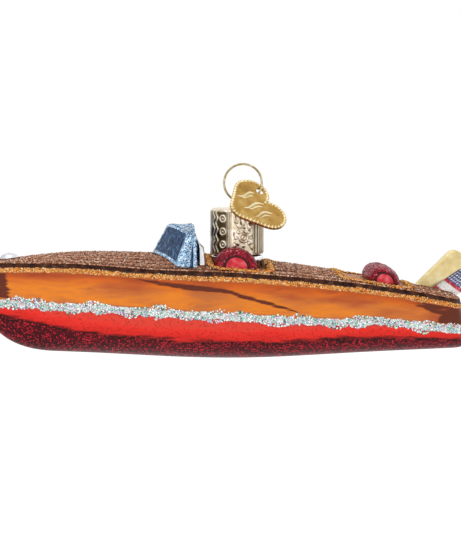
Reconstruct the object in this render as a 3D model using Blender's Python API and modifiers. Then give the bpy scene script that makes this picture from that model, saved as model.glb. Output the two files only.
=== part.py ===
"""Blown-glass hanging ornament in the form of a varnished runabout motor boat.

Metres, +Z up. The bow points to -X and the port side faces -Y. The ornament is
modelled as it hangs, and the world origin is the inside top of its wire loop,
where a hook or a twig carries it.
"""
import math

import bmesh
import bpy
import numpy as np
from mathutils import Matrix, Vector

# ---------------------------------------------------------------- sizes
HULL_LENGTH = 0.1270      # stem to the top of the transom
BEAM = 0.0340             # widest breadth of the deck
HULL_DEPTH = 0.02415      # sheer to keel at the neck's station
FORE_SHARE = 0.409        # share of the length ahead of the widest station
NECK_SHARE = 0.5374       # share of the length ahead of the glass neck

DECK_CAMBER = 0.0029      # rise of the deck at its widest station
AFT_FLATTEN = 0.28        # share of the camber lost towards the stern
DECK_EDGE = 0.0002        # edge thickness of the deck
COVERING_HEIGHT = 0.0004  # dark covering board seen from the side
RUB_HEIGHT = 0.0013       # gilt rub band under the covering board
STRIPE_HEIGHT = 0.0027    # pale boot stripe
TRANSOM_RAKE = 0.24       # aft slope of the transom, metres per metre of height
QUARTER_RADIUS = 0.0042   # rounding of the hull at the transom
FOREFOOT_LENGTH = 0.0210  # length over which the keel rises to the stem

SEAM = 0.0003             # gap between neighbouring pieces

NECK_RADIUS = 0.0059      # outside of the glass neck
NECK_WALL = 0.0010
NECK_HEIGHT = 0.0130      # from the cockpit's floor to its mouth
NECK_FLOOR = 0.0030       # closed glass under the bore
COLLAR_RADIUS = 0.0069    # pale shoulder of glass under the cap
COLLAR_SHOW = 0.0007      # how far the shoulder stands above the deck's crown

CAP_DIAMETER = 0.0143
CAP_HEIGHT = 0.0119
CAP_WALL = 0.00040
CAP_ROUND = 0.0009        # rounded shoulder of the cap
CAP_LIFT = 0.0004         # rim of the cap above the collar

WIRE = 0.0006             # wire of the hanging clip
LOOP_RADIUS = 0.0050      # centreline of the hanging loop
LOOP_RISE = 0.0069        # centre of the loop above the cap
LOOP_LEAN = math.radians(13.3)
LEG_SPACING = 0.0009      # half the distance between the legs in the cap's slot
LEG_SPREAD = 0.0040       # half the distance between the legs' ends in the neck
LEG_CLEARANCE = 0.0008    # leg ends above the closed bottom of the bore

TAG_WIDTH = 0.0180
TAG_HEIGHT = 0.0143
TAG_THICKNESS = 0.0006
TAG_LOBE_RADIUS = 0.0049
TAG_TIP_RADIUS = 0.0039
TAG_HOLE = 0.0022
TAG_HOLE_ACROSS = -0.0041   # from the middle of the heart
TAG_HOLE_UP = 0.0029        # above the centres of the lobes
TAG_HOLE_ANGLE = math.radians(-28)  # where on the loop the tag hangs
TAG_ACROSS = Vector((0.511, -0.545, -0.665))
TAG_UP = Vector((0.809, 0.566, 0.157))

SCREEN_BASE_HALF = 0.0153   # half breadth of the windscreen on the deck
SCREEN_TOP_HALF = 0.0120
SCREEN_SWEEP = 0.0057       # how far its corners lie behind its nose
SCREEN_THICK = 0.0053       # from its corners to its flat back
SCREEN_RAKE = 0.0040        # how far the top of its nose leans back
SCREEN_RISE = 0.0076
SCREEN_CORNER_RAKE = 0.0035 # how far the tops of its corners lean back
SCREEN_FALL = 0.0018        # fall of its top to the corners
SCREEN_AHEAD = 0.0225       # nose of the windscreen ahead of the neck
DASH_THICK = 0.0022
DASH_HALF = 0.0138
DASH_RISE = 0.0045

FRONT_SEAT_HALF_LENGTH = 0.0056   # along the boat
FRONT_SEAT_AHEAD = 0.0011   # middle of the front seat ahead of the neck
FRONT_SEAT_RISE = 0.0054
FRONT_SEAT_OUT = 0.0136     # outer face of the front seat from the centreline
REAR_SEAT_HALF_LENGTH = 0.0044    # along the boat
REAR_SEAT_RISE = 0.0043
REAR_SEAT_HALF = 0.0098
REAR_SEAT_BEHIND = 0.0383   # middle of the rear seat behind the neck
WELL_SILL = 0.00035         # floor of the cockpits above the sheer
WELL_CORNER = 0.0022
FRONT_WELL_AFT = 0.0074      # after edge of the front cockpit behind the neck
FRONT_WELL_HALF = 0.0140
REAR_WELL = (-0.0110, 0.0060, 0.0105)    # from the middle of the rear seat
COAMING_WIDTH = 0.0013
COAMING_HEIGHT = 0.0004
COAMING_GAP = 0.0002        # between the coaming and the edge of the cockpit

STAFF_BEHIND = 0.0479       # foot of the flag staff behind the neck
STAFF_FOOT_WIDTH = 0.0033
STAFF_HEAD_WIDTH = 0.0056   # across its round head
STAFF_THICK = 0.0032
STAFF_LENGTH = 0.01285      # from its foot to the middle of its round head
STAFF_ANGLE = math.radians(39)
STAFF_SINK = 0.0017         # its slanted foot starts this far under the deck and is cut flush
FLAG_THICK = 0.0022
FLAG_FLY = 0.0057
FLAG_DROOP = math.radians(-37)
BOW_LIGHT_AHEAD = 0.0600
BOW_LIGHT_SIZE = (0.0054, 0.0034, 0.0015)

STATIONS = 52               # cross-sections along the hull

# ------------------------------------------------------------- the scene
for old in list(bpy.data.objects):
    bpy.data.objects.remove(old, do_unlink=True)

PARTS = bpy.data.collections.new("runabout_ornament")
CUTTERS = bpy.data.collections.new("cutters")
bpy.context.scene.collection.children.link(PARTS)
bpy.context.scene.collection.children.link(CUTTERS)


def paint(name, colour, roughness, metallic):
    """A Principled material."""
    material = bpy.data.materials.new(name)
    material.use_nodes = True
    shader = material.node_tree.nodes["Principled BSDF"]
    shader.inputs["Base Color"].default_value = (*colour, 1.0)
    shader.inputs["Roughness"].default_value = roughness
    shader.inputs["Metallic"].default_value = metallic
    return material


BRASS = paint("brass", (0.55, 0.42, 0.22), 0.3, 1.0)
GLASS = paint("silvered_glass", (0.8, 0.8, 0.82), 0.1, 1.0)
VARNISH = paint("amber_varnish", (0.72, 0.25, 0.04), 0.12, 0.7)
DECK_BROWN = paint("deck_brown", (0.22, 0.08, 0.03), 0.4, 0.2)
DARK_BROWN = paint("dark_brown", (0.05, 0.02, 0.01), 0.4, 0.2)
GILT = paint("gilt_glitter", (0.85, 0.42, 0.08), 0.5, 0.6)
PEARL = paint("pearl_glitter", (0.75, 0.75, 0.72), 0.5, 0.3)
RED = paint("red_lacquer", (0.65, 0.03, 0.03), 0.15, 0.6)
CRIMSON = paint("crimson_glitter", (0.4, 0.01, 0.03), 0.4, 0.4)
BLUE = paint("blue_lacquer", (0.03, 0.09, 0.2), 0.3, 0.5)


def add(name, mesh, material, parent, matrix=None, smooth=True, collection=PARTS):
    """Put a mesh, given in boat coordinates, under its parent as a named object."""
    if material is not None:
        mesh.materials.clear()
        mesh.materials.append(material)
    if smooth:
        mesh.shade_smooth()
        mesh.set_sharp_from_angle(angle=math.radians(35))
    thing = bpy.data.objects.new(name, mesh)
    collection.objects.link(thing)
    if matrix is None:
        mesh.transform(Matrix.Translation(-anchor_of(parent)))
    else:
        thing.matrix_basis = Matrix.Translation(-anchor_of(parent)) @ matrix
    thing.parent = parent
    return thing


def anchor_of(parent):
    """Where a parent empty stands, in boat coordinates."""
    return Vector(parent["boat_position"])


def empty(name, boat_position, parent=None):
    """An empty that stands on a joint's axis."""
    thing = bpy.data.objects.new(name, None)
    thing.empty_display_size = 0.004
    thing["boat_position"] = list(boat_position)
    PARTS.objects.link(thing)
    base = anchor_of(parent) if parent else HANG_POINT
    thing.location = Vector(boat_position) - base
    thing.parent = parent
    return thing


def mesh_from(name, vertices, faces):
    """A mesh with its doubles merged and its faces turned outward."""
    mesh = bpy.data.meshes.new(name)
    mesh.from_pydata([tuple(v) for v in vertices], [], faces)
    bm = bmesh.new()
    bm.from_mesh(mesh)
    bmesh.ops.remove_doubles(bm, verts=bm.verts, dist=1e-6)
    bmesh.ops.dissolve_degenerate(bm, edges=bm.edges, dist=1e-7)
    bmesh.ops.recalc_face_normals(bm, faces=bm.faces)
    bm.to_mesh(mesh)
    bm.free()
    return mesh


def cut(thing, cutter_mesh, name):
    """Cut one piece with a hidden cutter, given in boat coordinates."""
    cutter = add(name, cutter_mesh, None, thing.parent, smooth=False, collection=CUTTERS)
    cutter.hide_render = True
    cutter.display_type = "WIRE"
    boolean = thing.modifiers.new(name, "BOOLEAN")
    boolean.operation = "DIFFERENCE"
    boolean.solver = "EXACT"
    boolean.object = cutter


# ---------------------------------------------------------- lines of the hull
STEM_X = -NECK_SHARE * HULL_LENGTH          # the neck stands at x = 0
STERN_X = STEM_X + HULL_LENGTH
WIDEST_X = STEM_X + FORE_SHARE * HULL_LENGTH
KEEL_Z = 0.0023 - HULL_DEPTH                # z = 0 is near the sheer amidships


def fair(shares, heights):
    """A smooth curve along the boat through a few offsets, given by share of length."""
    at = STEM_X + np.array(shares) * HULL_LENGTH
    z = np.array(heights)
    slope = np.gradient(z, at)

    def curve(x):
        x = np.clip(np.asarray(x, float), at[0], at[-1])
        i = np.clip(np.searchsorted(at, x) - 1, 0, len(at) - 2)
        span = at[i + 1] - at[i]
        t = (x - at[i]) / span
        return ((1 + 2 * t) * (1 - t) ** 2 * z[i] + t * (1 - t) ** 2 * span * slope[i]
                + t * t * (3 - 2 * t) * z[i + 1] - t * t * (1 - t) * span * slope[i + 1])
    return curve


sheer = fair((0.0, 0.07, 0.174, 0.3685, 0.532, 0.676, 0.88, 1.0),
             (0.0040, 0.0043, 0.00455, 0.0031, 0.0021, 0.0005, -0.0030, -0.0060))
keel_line = fair((0.0, 0.205, 0.532, 0.819, 1.0),
                 (KEEL_Z + 0.0029, KEEL_Z + 0.0018, KEEL_Z, KEEL_Z + 0.0013, KEEL_Z + 0.0023))
stripe_top = fair((0.0, 0.246, 0.532, 0.72, 0.86, 0.95, 1.0),
                  (-0.0049, -0.0061, -0.0085, -0.0101, -0.0105, -0.0123, -0.0129))


def stern_round(x):
    """1 along the boat, falling on a rounded curve to the transom."""
    t = np.clip((np.asarray(x, float) - (STERN_X - QUARTER_RADIUS)) / QUARTER_RADIUS, 0, 1)
    return (1 - (0.985 * t) ** 2.6) ** (1 / 2.6)


def half_beam(x):
    """Half breadth of the deck: a full rounded bow and a run narrowing to the stern."""
    x = np.asarray(x, float)
    fore = np.clip((x - STEM_X) / (WIDEST_X - STEM_X), 0, 1)
    aft = np.clip((x - WIDEST_X) / (STERN_X - WIDEST_X), 0, 1)
    plan = np.sin(0.5 * np.pi * fore) ** 0.62 * (1 - 0.40 * aft ** 1.4)
    return 0.5 * BEAM * plan * (0.30 + 0.70 * stern_round(x))


def keel(x):
    """Keel height: nearly flat, with a round forefoot up to the stem head."""
    x = np.asarray(x, float)
    t = np.clip((x - STEM_X) / FOREFOOT_LENGTH, 0, 1)
    rise = 1 - (1 - (1 - t) ** 2.6) ** (1 / 2.6)
    head = sheer(x) - 0.0030
    base = keel_line(x) + (1 - stern_round(x)) * 0.0045
    return base + rise * (head - base)


def side(x, z):
    """Half breadth of the hull's outside at a height: a full, rounded bilge."""
    s = np.clip((sheer(x) - z) / (sheer(x) - keel(x)), 0, 1)
    fullness = 2.1 + 0.5 * np.clip((x - STEM_X) / (0.6 * HULL_LENGTH), 0, 1)
    return half_beam(x) * (1 - s ** fullness) ** (1 / fullness)


def camber(x):
    """Rise of the deck at the centreline of a station."""
    aft = np.clip(np.asarray(x, float) / (0.77 * STERN_X), 0, 1)
    flatter = 1 - AFT_FLATTEN * aft * aft * (3 - 2 * aft)
    return DECK_CAMBER * flatter * (half_beam(x) / (0.5 * BEAM)) ** 2


def deck_top(x, y):
    """Height of the deck's surface."""
    across = np.clip(np.abs(y) / np.maximum(half_beam(x), 1e-6), 0, 1)
    return sheer(x) + camber(x) * (1 - across ** 2)


def raked(x, z):
    """Slope the after end of the hull to the transom's rake."""
    t = np.clip((x - (STERN_X - 0.022)) / 0.022, 0, 1)
    return x + TRANSOM_RAKE * (sheer(x) - z) * t * t * (3 - 2 * t)


def stations(start):
    """Cross-section places, closer together at the bow and the transom."""
    t = np.linspace(0, 1, STATIONS)
    x = STEM_X + HULL_LENGTH * (0.5 - 0.5 * np.cos(np.pi * t))
    x[0] = STEM_X + 0.00002 * HULL_LENGTH
    return np.concatenate([[start], x[x > start + 0.0001]])


def loft(name, rings):
    """Close a stack of equal rings, each an array of points, into one solid."""
    rings = np.array(rings)
    count, size = rings.shape[:2]
    here = np.arange(size)
    after = np.roll(here, -1)
    faces = []
    for k in range(count - 1):
        low, high = k * size, (k + 1) * size
        faces += [(int(low + a), int(low + b), int(high + b), int(high + a))
                  for a, b in zip(here, after)]
    faces.append(tuple(int(i) for i in here))
    faces.append(tuple(int(i) for i in (count - 1) * size + here[::-1]))
    return mesh_from(name, rings.reshape(-1, 3), faces)


def hull_layer(name, upper, lower, rows, start):
    """A slice of the hull between two heights that run along it."""
    rings = []
    for x in stations(start):
        top = upper(x)
        bottom = max(lower(x), keel(x))
        s = 0.5 - 0.5 * np.cos(np.linspace(0, np.pi, rows)) if rows > 4 else np.linspace(0, 1, rows)
        z = top + (bottom - top) * s
        y = side(x, z)
        port = np.stack([raked(x, z), -y, z], 1)
        starboard = np.stack([raked(x, z), y, z], 1)[::-1]
        rings.append(np.concatenate([port, starboard]))
    return loft(name, rings)


def first_station(upper):
    """Where a slice of the hull begins: the stem, or where the forefoot crosses it."""
    x = np.linspace(STEM_X + 0.0001, STEM_X + FOREFOOT_LENGTH, 400)
    inside = keel(x) < upper(x) - 0.00005
    return float(x[np.argmax(inside)])


# ------------------------------------------------------------ driving places
class Floor:
    """A cockpit's floor: flat across, and sloping with the sheer along the boat."""

    def __init__(self, x0, x1, half):
        self.x0, self.x1, self.half = x0, x1, half
        self.middle = 0.5 * (x0 + x1)
        self.z = float(sheer(self.middle)) + WELL_SILL
        self.slope = float(sheer(x1) - sheer(x0)) / (x1 - x0)

    def at(self, x):
        return self.z + self.slope * (x - self.middle)


REAR_X = REAR_SEAT_BEHIND
SCREEN_CORNER_X = SCREEN_SWEEP - SCREEN_AHEAD
SCREEN_BACK_X = SCREEN_CORNER_X + SCREEN_THICK
DASH_X = SCREEN_BACK_X + SEAM
FRONT_WELL_FORE = DASH_X + DASH_THICK + SEAM + COAMING_WIDTH + COAMING_GAP
FLOORS = {"front": Floor(FRONT_WELL_FORE, FRONT_WELL_AFT, FRONT_WELL_HALF),
          "rear": Floor(REAR_X + REAR_WELL[0], REAR_X + REAR_WELL[1], REAR_WELL[2])}
COLLAR_TOP_Z = float(deck_top(0.0, 0.0)) + COLLAR_SHOW
MOUTH_Z = FLOORS["front"].at(0.0) + NECK_HEIGHT
BORE_FLOOR_Z = FLOORS["front"].at(0.0) + NECK_FLOOR
CAP_RIM_Z = COLLAR_TOP_Z + CAP_LIFT
CAP_TOP_Z = CAP_RIM_Z + CAP_HEIGHT
SLOT = Vector((0.0, 0.0, CAP_TOP_Z))
LEAN_AXIS = Vector((math.sin(LOOP_LEAN), 0.0, math.cos(LOOP_LEAN)))
LOOP_CENTRE = SLOT + LEAN_AXIS * LOOP_RISE
HANG_POINT = LOOP_CENTRE + Vector((0.0, 0.0, LOOP_RADIUS - 0.5 * WIRE))
TAG_PIVOT = LOOP_CENTRE + LOOP_RADIUS * Vector((math.cos(TAG_HOLE_ANGLE), 0.0,
                                                math.sin(TAG_HOLE_ANGLE)))

hanger = empty("hanger", HANG_POINT)
boat = empty("boat_slides_off_here", Vector((0.0, 0.0, MOUTH_Z)), hanger)
tag_pivot = empty("tag_pivot", TAG_PIVOT, hanger)


# ------------------------------------------------------------------- the hull
def covering_top(x):
    return sheer(x) - DECK_EDGE - SEAM


def covering_bottom(x):
    return covering_top(x) - COVERING_HEIGHT


def rub_top(x):
    return covering_bottom(x) - SEAM


def rub_bottom(x):
    return rub_top(x) - RUB_HEIGHT


def topsides_top(x):
    return rub_bottom(x) - SEAM


def topsides_bottom(x):
    return stripe_top(x) + SEAM


def stripe_bottom(x):
    return stripe_top(x) - STRIPE_HEIGHT


def bottom_top(x):
    return stripe_bottom(x) - SEAM


def no_floor(x):
    return -1.0


LAYERS = (
    ("covering_boards", covering_top, covering_bottom, 2, DARK_BROWN),
    ("rub_band", rub_top, rub_bottom, 3, GILT),
    ("topsides", topsides_top, topsides_bottom, 6, VARNISH),
    ("boot_stripe", stripe_top, stripe_bottom, 3, PEARL),
    ("hull_bottom", bottom_top, no_floor, 11, RED),
)
for layer_name, upper, lower, rows, colour in LAYERS:
    slab = hull_layer(layer_name, upper, lower, rows, first_station(upper))
    add(layer_name, slab, colour, boat)


def deck_mesh():
    """The crowned deck, with a thin upright edge."""
    rings = []
    across = np.sin(np.linspace(-0.5, 0.5, 15) * np.pi)
    for x in stations(STEM_X + 0.0001):
        half = half_beam(x)
        y = across * half
        z = deck_top(x, y)
        edge = sheer(x) - DECK_EDGE
        top = np.stack([raked(x, z), y, z], 1)
        under = np.stack([raked(x, np.full(2, edge)), np.array([half, -half]),
                          np.full(2, edge)], 1)
        rings.append(np.concatenate([top, under]))
    return loft("deck", rings)


def rounded_box(name, x0, x1, half, corner, z0, z1):
    """An upright prism over a rectangle with round corners."""
    loop = rectangle_loop(x0, x1, half, corner, 5)
    rings = [np.column_stack([loop, np.full(len(loop), z)]) for z in (z0, z1)]
    return loft(name, rings)


def rectangle_loop(x0, x1, half, corner, steps):
    """Plan of a rectangle with round corners, as points in order."""
    turn = np.linspace(0, 0.5 * np.pi, steps)
    points = []
    for k, (cx, cy) in enumerate(((x1 - corner, half - corner), (x0 + corner, half - corner),
                                  (x0 + corner, corner - half), (x1 - corner, corner - half))):
        angle = turn + k * 0.5 * np.pi
        points.append(np.stack([cx + corner * np.cos(angle), cy + corner * np.sin(angle)], 1))
    return np.concatenate(points)


deck = add("deck", deck_mesh(), DECK_BROWN, boat)

for place, floor in FLOORS.items():
    well = rounded_box(place + "_well", floor.x0, floor.x1, floor.half, WELL_CORNER, 0.0, 0.02)
    for vertex in well.vertices:
        if vertex.co.z < 0.01:
            vertex.co.z = floor.at(vertex.co.x)
    cut(deck, well, place + "_well")


def under_floor(name, floor):
    """A cutter that fills everything below a seam above a cockpit's floor."""
    block = rounded_box(name, floor.x0 - 0.01, floor.x1 + 0.01, floor.half + 0.005, 0.001,
                        -0.03, 0.0)
    for vertex in block.vertices:
        if vertex.co.z > -0.01:
            vertex.co.z = floor.at(vertex.co.x) + SEAM
    return block


def walked(inner, outer, step):
    """Extra points along the long straight runs of two matching loops."""
    pairs = []
    for k in range(len(inner)):
        after = (k + 1) % len(inner)
        count = max(1, int(np.linalg.norm(inner[after] - inner[k]) / step))
        for t in np.arange(count) / count:
            pairs.append((inner[k] + t * (inner[after] - inner[k]),
                          outer[k] + t * (outer[after] - outer[k])))
    return np.array([p[0] for p in pairs]), np.array([p[1] for p in pairs])


def coaming(name, x0, x1, half, gap):
    """A thin raised rim on the deck around a cockpit."""
    inner = rectangle_loop(x0 - gap, x1 + gap, half + gap, WELL_CORNER + gap, 6)
    reach = gap + COAMING_WIDTH
    outer = rectangle_loop(x0 - reach, x1 + reach, half + reach, WELL_CORNER + reach, 6)
    inner, outer = walked(inner, outer, 0.002)
    seat = [deck_top(p[:, 0], p[:, 1]) + SEAM for p in (inner, outer)]
    corners = [np.column_stack([inner, seat[0]]), np.column_stack([outer, seat[1]]),
               np.column_stack([outer, seat[1] + COAMING_HEIGHT]),
               np.column_stack([inner, seat[0] + COAMING_HEIGHT])]
    points = np.stack(corners, 1).reshape(-1, 3)
    count = len(inner)
    faces = []
    for k in range(count):
        here, after = 4 * k, 4 * ((k + 1) % count)
        faces += [(here + a, after + a, after + (a + 1) % 4, here + (a + 1) % 4)
                  for a in range(4)]
    return mesh_from(name, points, faces)


for place, floor in FLOORS.items():
    rim = coaming(place + "_coaming", floor.x0, floor.x1, floor.half, COAMING_GAP)
    add(place + "_coaming", rim, GILT, boat)


# ------------------------------------------------------- windscreen and dash
def hull_of(name, points):
    """The convex solid around some corner points."""
    bm = bmesh.new()
    for point in points:
        bm.verts.new(point)
    bmesh.ops.convex_hull(bm, input=bm.verts)
    bmesh.ops.dissolve_limit(bm, angle_limit=math.radians(1), verts=bm.verts, edges=bm.edges)
    bmesh.ops.recalc_face_normals(bm, faces=bm.faces)
    mesh = bpy.data.meshes.new(name)
    bm.to_mesh(mesh)
    bm.free()
    return mesh


nose_x = -SCREEN_AHEAD
corner_x = SCREEN_CORNER_X
back_x = SCREEN_BACK_X
screen_points = []
for across in (-1, 1):
    for x, half in ((corner_x, SCREEN_BASE_HALF), (back_x, SCREEN_BASE_HALF)):
        foot = float(deck_top(x, half)) + SEAM
        screen_points.append((x, across * half, foot))
    top_corner = float(deck_top(corner_x, 0)) + SCREEN_RISE - SCREEN_FALL
    screen_points.append((corner_x + SCREEN_CORNER_RAKE, across * SCREEN_TOP_HALF, top_corner))
    screen_points.append((back_x, across * SCREEN_TOP_HALF, top_corner - 0.0007))
screen_points.append((nose_x, 0.0, float(deck_top(nose_x, 0)) + SEAM))
screen_points.append((nose_x + SCREEN_RAKE, 0.0, float(deck_top(nose_x, 0)) + SCREEN_RISE))
screen_points.append((back_x, 0.0, float(deck_top(back_x, 0)) + SCREEN_RISE + 0.0006))
windscreen = add("windscreen", hull_of("windscreen", screen_points), BLUE, boat, smooth=False)


def deck_block(name, raise_by, x0, x1, half):
    """A cutter below a surface that follows the deck, for pieces that stand on it."""
    xs = x0 + (x1 - x0) * np.sin(np.linspace(0, 0.5 * np.pi, 15))
    ys = np.linspace(-half, half, 13)
    rings = []
    for x in xs:
        z = deck_top(x, ys) + raise_by
        top = np.stack([np.full(len(ys), x), ys, z], 1)
        under = np.array([[x, half, -0.02], [x, -half, -0.02]])
        rings.append(np.concatenate([top, under]))
    return loft(name, rings)


cut(windscreen, deck_block("windscreen_foot", SEAM, -0.026, back_x + 0.002, 0.0165),
    "windscreen_foot")

dash_x = DASH_X
dash_points = []
for x in (dash_x, dash_x + DASH_THICK):
    lean = 0.0 if x == dash_x else 1.0
    foot = float(deck_top(x, DASH_HALF)) + SEAM
    crest = float(deck_top(x, 0)) + DASH_RISE - 0.0016 * lean
    for across in (-1, 1):
        dash_points.append((x, across * DASH_HALF, foot))
        dash_points.append((x, across * 0.86 * DASH_HALF, crest))
dashboard = add("dashboard", hull_of("dashboard", dash_points), GLASS, boat, smooth=False)
cut(dashboard, deck_block("dashboard_foot", SEAM, dash_x - 0.002, dash_x + DASH_THICK + 0.002,
                          DASH_HALF + 0.002), "dashboard_foot")


# ---------------------------------------------------------------------- seats
def mound(name, x, y, base, half_x, half_y, rise, square):
    """A rounded lump whose lower half is cut away by what it stands on."""
    bm = bmesh.new()
    bmesh.ops.create_uvsphere(bm, u_segments=24, v_segments=14, radius=1.0)
    for vertex in bm.verts:
        a, b, c = vertex.co
        b = math.copysign(abs(b) ** square, b)
        vertex.co = (x + half_x * a * (1 - 0.25 * abs(b) ** 6), y + half_y * b, base + rise * c)
    mesh = bpy.data.meshes.new(name)
    bm.to_mesh(mesh)
    bm.free()
    return mesh


seat_in = 0.5 * CAP_DIAMETER + 0.0005
seat_half = 0.5 * (FRONT_SEAT_OUT - seat_in)
front_base = FLOORS["front"].at(-FRONT_SEAT_AHEAD) + SEAM
for side_name, across in (("port", -1), ("starboard", 1)):
    lump = mound("front_seat_" + side_name, -FRONT_SEAT_AHEAD, across * (seat_in + seat_half),
                 front_base, FRONT_SEAT_HALF_LENGTH, seat_half, FRONT_SEAT_RISE, 0.45)
    front_seat = add("front_seat_" + side_name, lump, CRIMSON, boat)
    cut(front_seat, under_floor("front_seat_base", FLOORS["front"]), "seat_base_" + side_name)
rear_base = FLOORS["rear"].at(REAR_X) + SEAM
rear_seat = add("rear_seat", mound("rear_seat", REAR_X, 0.0, rear_base, REAR_SEAT_HALF_LENGTH,
                                   REAR_SEAT_HALF, REAR_SEAT_RISE, 0.6), CRIMSON, boat)
cut(rear_seat, under_floor("rear_seat_base", FLOORS["rear"]), "rear_seat_base")

# ------------------------------------------------------------ bow light
light_x = -BOW_LIGHT_AHEAD
light_base = float(deck_top(light_x, 0))
length, breadth, height = BOW_LIGHT_SIZE
bow_light = add("bow_light", mound("bow_light", light_x, 0.0, light_base, 0.5 * length,
                                   0.5 * breadth, height, 1.0), GLASS, boat)
cut(bow_light, deck_block("bow_light_foot", SEAM, light_x - 0.7 * length,
                          light_x + 0.7 * length, breadth), "bow_light_foot")


# ------------------------------------------------------- flag staff and flag
def plate(name, outline, thickness):
    """A flat plate in the boat's middle plane, from an outline of (x, z) points."""
    outline = np.array(outline)
    rings = [np.column_stack([outline[:, 0], np.full(len(outline), y), outline[:, 1]])
             for y in (-0.5 * thickness, 0.5 * thickness)]
    return loft(name, rings)


along = np.array([math.cos(STAFF_ANGLE), math.sin(STAFF_ANGLE)])
square_to = np.array([math.sin(STAFF_ANGLE), -math.cos(STAFF_ANGLE)])
foot = np.array([STAFF_BEHIND, float(deck_top(STAFF_BEHIND, 0)) - STAFF_SINK])
turn = np.linspace(math.pi, 0, 7)
head = foot + along * STAFF_LENGTH
head_radius = 0.5 * STAFF_HEAD_WIDTH
tip = [head + head_radius * (along * math.sin(a) + square_to * math.cos(a)) for a in turn]
staff_outline = [foot - 0.5 * STAFF_FOOT_WIDTH * square_to] + tip
staff_outline += [foot + 0.5 * STAFF_FOOT_WIDTH * square_to]
staff = add("flag_staff", plate("flag_staff", staff_outline, STAFF_THICK), BRASS, boat,
            smooth=False)
cut(staff, deck_block("staff_foot", SEAM, STAFF_BEHIND - 0.006, STAFF_BEHIND + 0.008, 0.003),
    "staff_foot")

fly = np.array([math.cos(FLAG_DROOP), math.sin(FLAG_DROOP)])
gap = SEAM * square_to
hoist_foot = foot + square_to * 0.5 * STAFF_FOOT_WIDTH + gap
hoist_head = head + square_to * 0.5 * STAFF_HEAD_WIDTH + gap
flag_outline = [hoist_foot, hoist_head, hoist_head + fly * FLAG_FLY, hoist_foot + fly * FLAG_FLY]
flag = add("flag", plate("flag", flag_outline, FLAG_THICK), PEARL, boat, smooth=False)
cut(flag, deck_block("flag_foot", SEAM, hoist_foot[0] - 0.002, STERN_X + 0.0004, 0.003), "flag_foot")


# ----------------------------------------------------------- neck, cap, clip
def turned(name, profile, sides, material, parent):
    """A turned piece: a profile of (radius, z) points, top to bottom, with Screw."""
    mesh = bpy.data.meshes.new(name)
    edges = [(k, k + 1) for k in range(len(profile) - 1)]
    mesh.from_pydata([(r, 0.0, z - anchor_of(parent).z) for r, z in profile], edges, [])
    mesh.materials.append(material)
    thing = bpy.data.objects.new(name, mesh)
    PARTS.objects.link(thing)
    thing.parent = parent
    thing.location = (-anchor_of(parent).x, 0.0, 0.0)
    screw = thing.modifiers.new("turned", "SCREW")
    screw.axis = "Z"
    screw.steps = screw.render_steps = sides
    screw.use_merge_vertices = True
    screw.merge_threshold = 0.00001
    screw.use_smooth_shade = True
    return thing


bore = NECK_RADIUS - NECK_WALL
lip = 0.25 * NECK_WALL
neck_foot_z = FLOORS["front"].at(COLLAR_RADIUS) - 0.001
neck_profile = [
    (0.0, BORE_FLOOR_Z), (bore, BORE_FLOOR_Z),
    (bore, MOUTH_Z - lip), (bore + lip, MOUTH_Z),
    (NECK_RADIUS - lip, MOUTH_Z), (NECK_RADIUS, MOUTH_Z - lip),
    (NECK_RADIUS, COLLAR_TOP_Z + 0.0002), (COLLAR_RADIUS - 0.0004, COLLAR_TOP_Z),
    (COLLAR_RADIUS, COLLAR_TOP_Z - 0.0005), (COLLAR_RADIUS, neck_foot_z), (0.0, neck_foot_z)]
neck = turned("neck", neck_profile, 36, GLASS, boat)
cut(neck, under_floor("neck_foot", FLOORS["front"]), "neck_foot")

cap_radius = 0.5 * CAP_DIAMETER
inner = cap_radius - CAP_WALL
arc = np.linspace(0, 0.5 * math.pi, 4)
outside = [(cap_radius - CAP_ROUND + CAP_ROUND * math.sin(a),
            CAP_TOP_Z - CAP_ROUND + CAP_ROUND * math.cos(a)) for a in arc]
inner_round = CAP_ROUND - CAP_WALL
inside = [(inner - inner_round + inner_round * math.sin(a),
           CAP_TOP_Z - CAP_ROUND + inner_round * math.cos(a)) for a in arc[::-1]]
cap_profile = ([(0.0, CAP_TOP_Z)] + outside + [(cap_radius, CAP_RIM_Z), (inner, CAP_RIM_Z)]
               + inside + [(0.0, CAP_TOP_Z - CAP_WALL)])
cap = turned("cap", cap_profile, 44, BRASS, hanger)

slot = rounded_box("slot", -LEG_SPACING - 0.5 * WIRE - 0.0006, LEG_SPACING + 0.5 * WIRE + 0.0006,
                   0.5 * WIRE + 0.0004, 0.0006, CAP_TOP_Z - 0.003, CAP_TOP_Z + 0.002)
cut(cap, slot, "cap_slot")


def clip_route():
    """The clip's wire: a sprung leg, the hanging loop, and the other leg."""
    gap = math.asin(LEG_SPACING / LOOP_RADIUS)
    turn = np.linspace(-0.5 * math.pi - gap, -2.5 * math.pi + gap, 37)
    loop = np.stack([LOOP_RADIUS * np.cos(turn), LOOP_RISE + LOOP_RADIUS * np.sin(turn)], 1)
    lean = np.array([[math.cos(LOOP_LEAN), -math.sin(LOOP_LEAN)],
                     [math.sin(LOOP_LEAN), math.cos(LOOP_LEAN)]])
    loop = loop @ lean
    end_z = BORE_FLOOR_Z + LEG_CLEARANCE
    leg = [(LEG_SPREAD - 0.0006, end_z), (LEG_SPREAD, end_z + 0.0014),
           (LEG_SPREAD - 0.0002, end_z + 0.0030),
           (LEG_SPACING + 0.0010, CAP_TOP_Z - CAP_WALL - 0.0022),
           (LEG_SPACING, CAP_TOP_Z - CAP_WALL - 0.0006), (LEG_SPACING, CAP_TOP_Z + 0.0001)]
    left = [(-x, z) for x, z in leg]
    ring = [(x, CAP_TOP_Z + z) for x, z in loop]
    return left + ring + leg[::-1]


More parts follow.
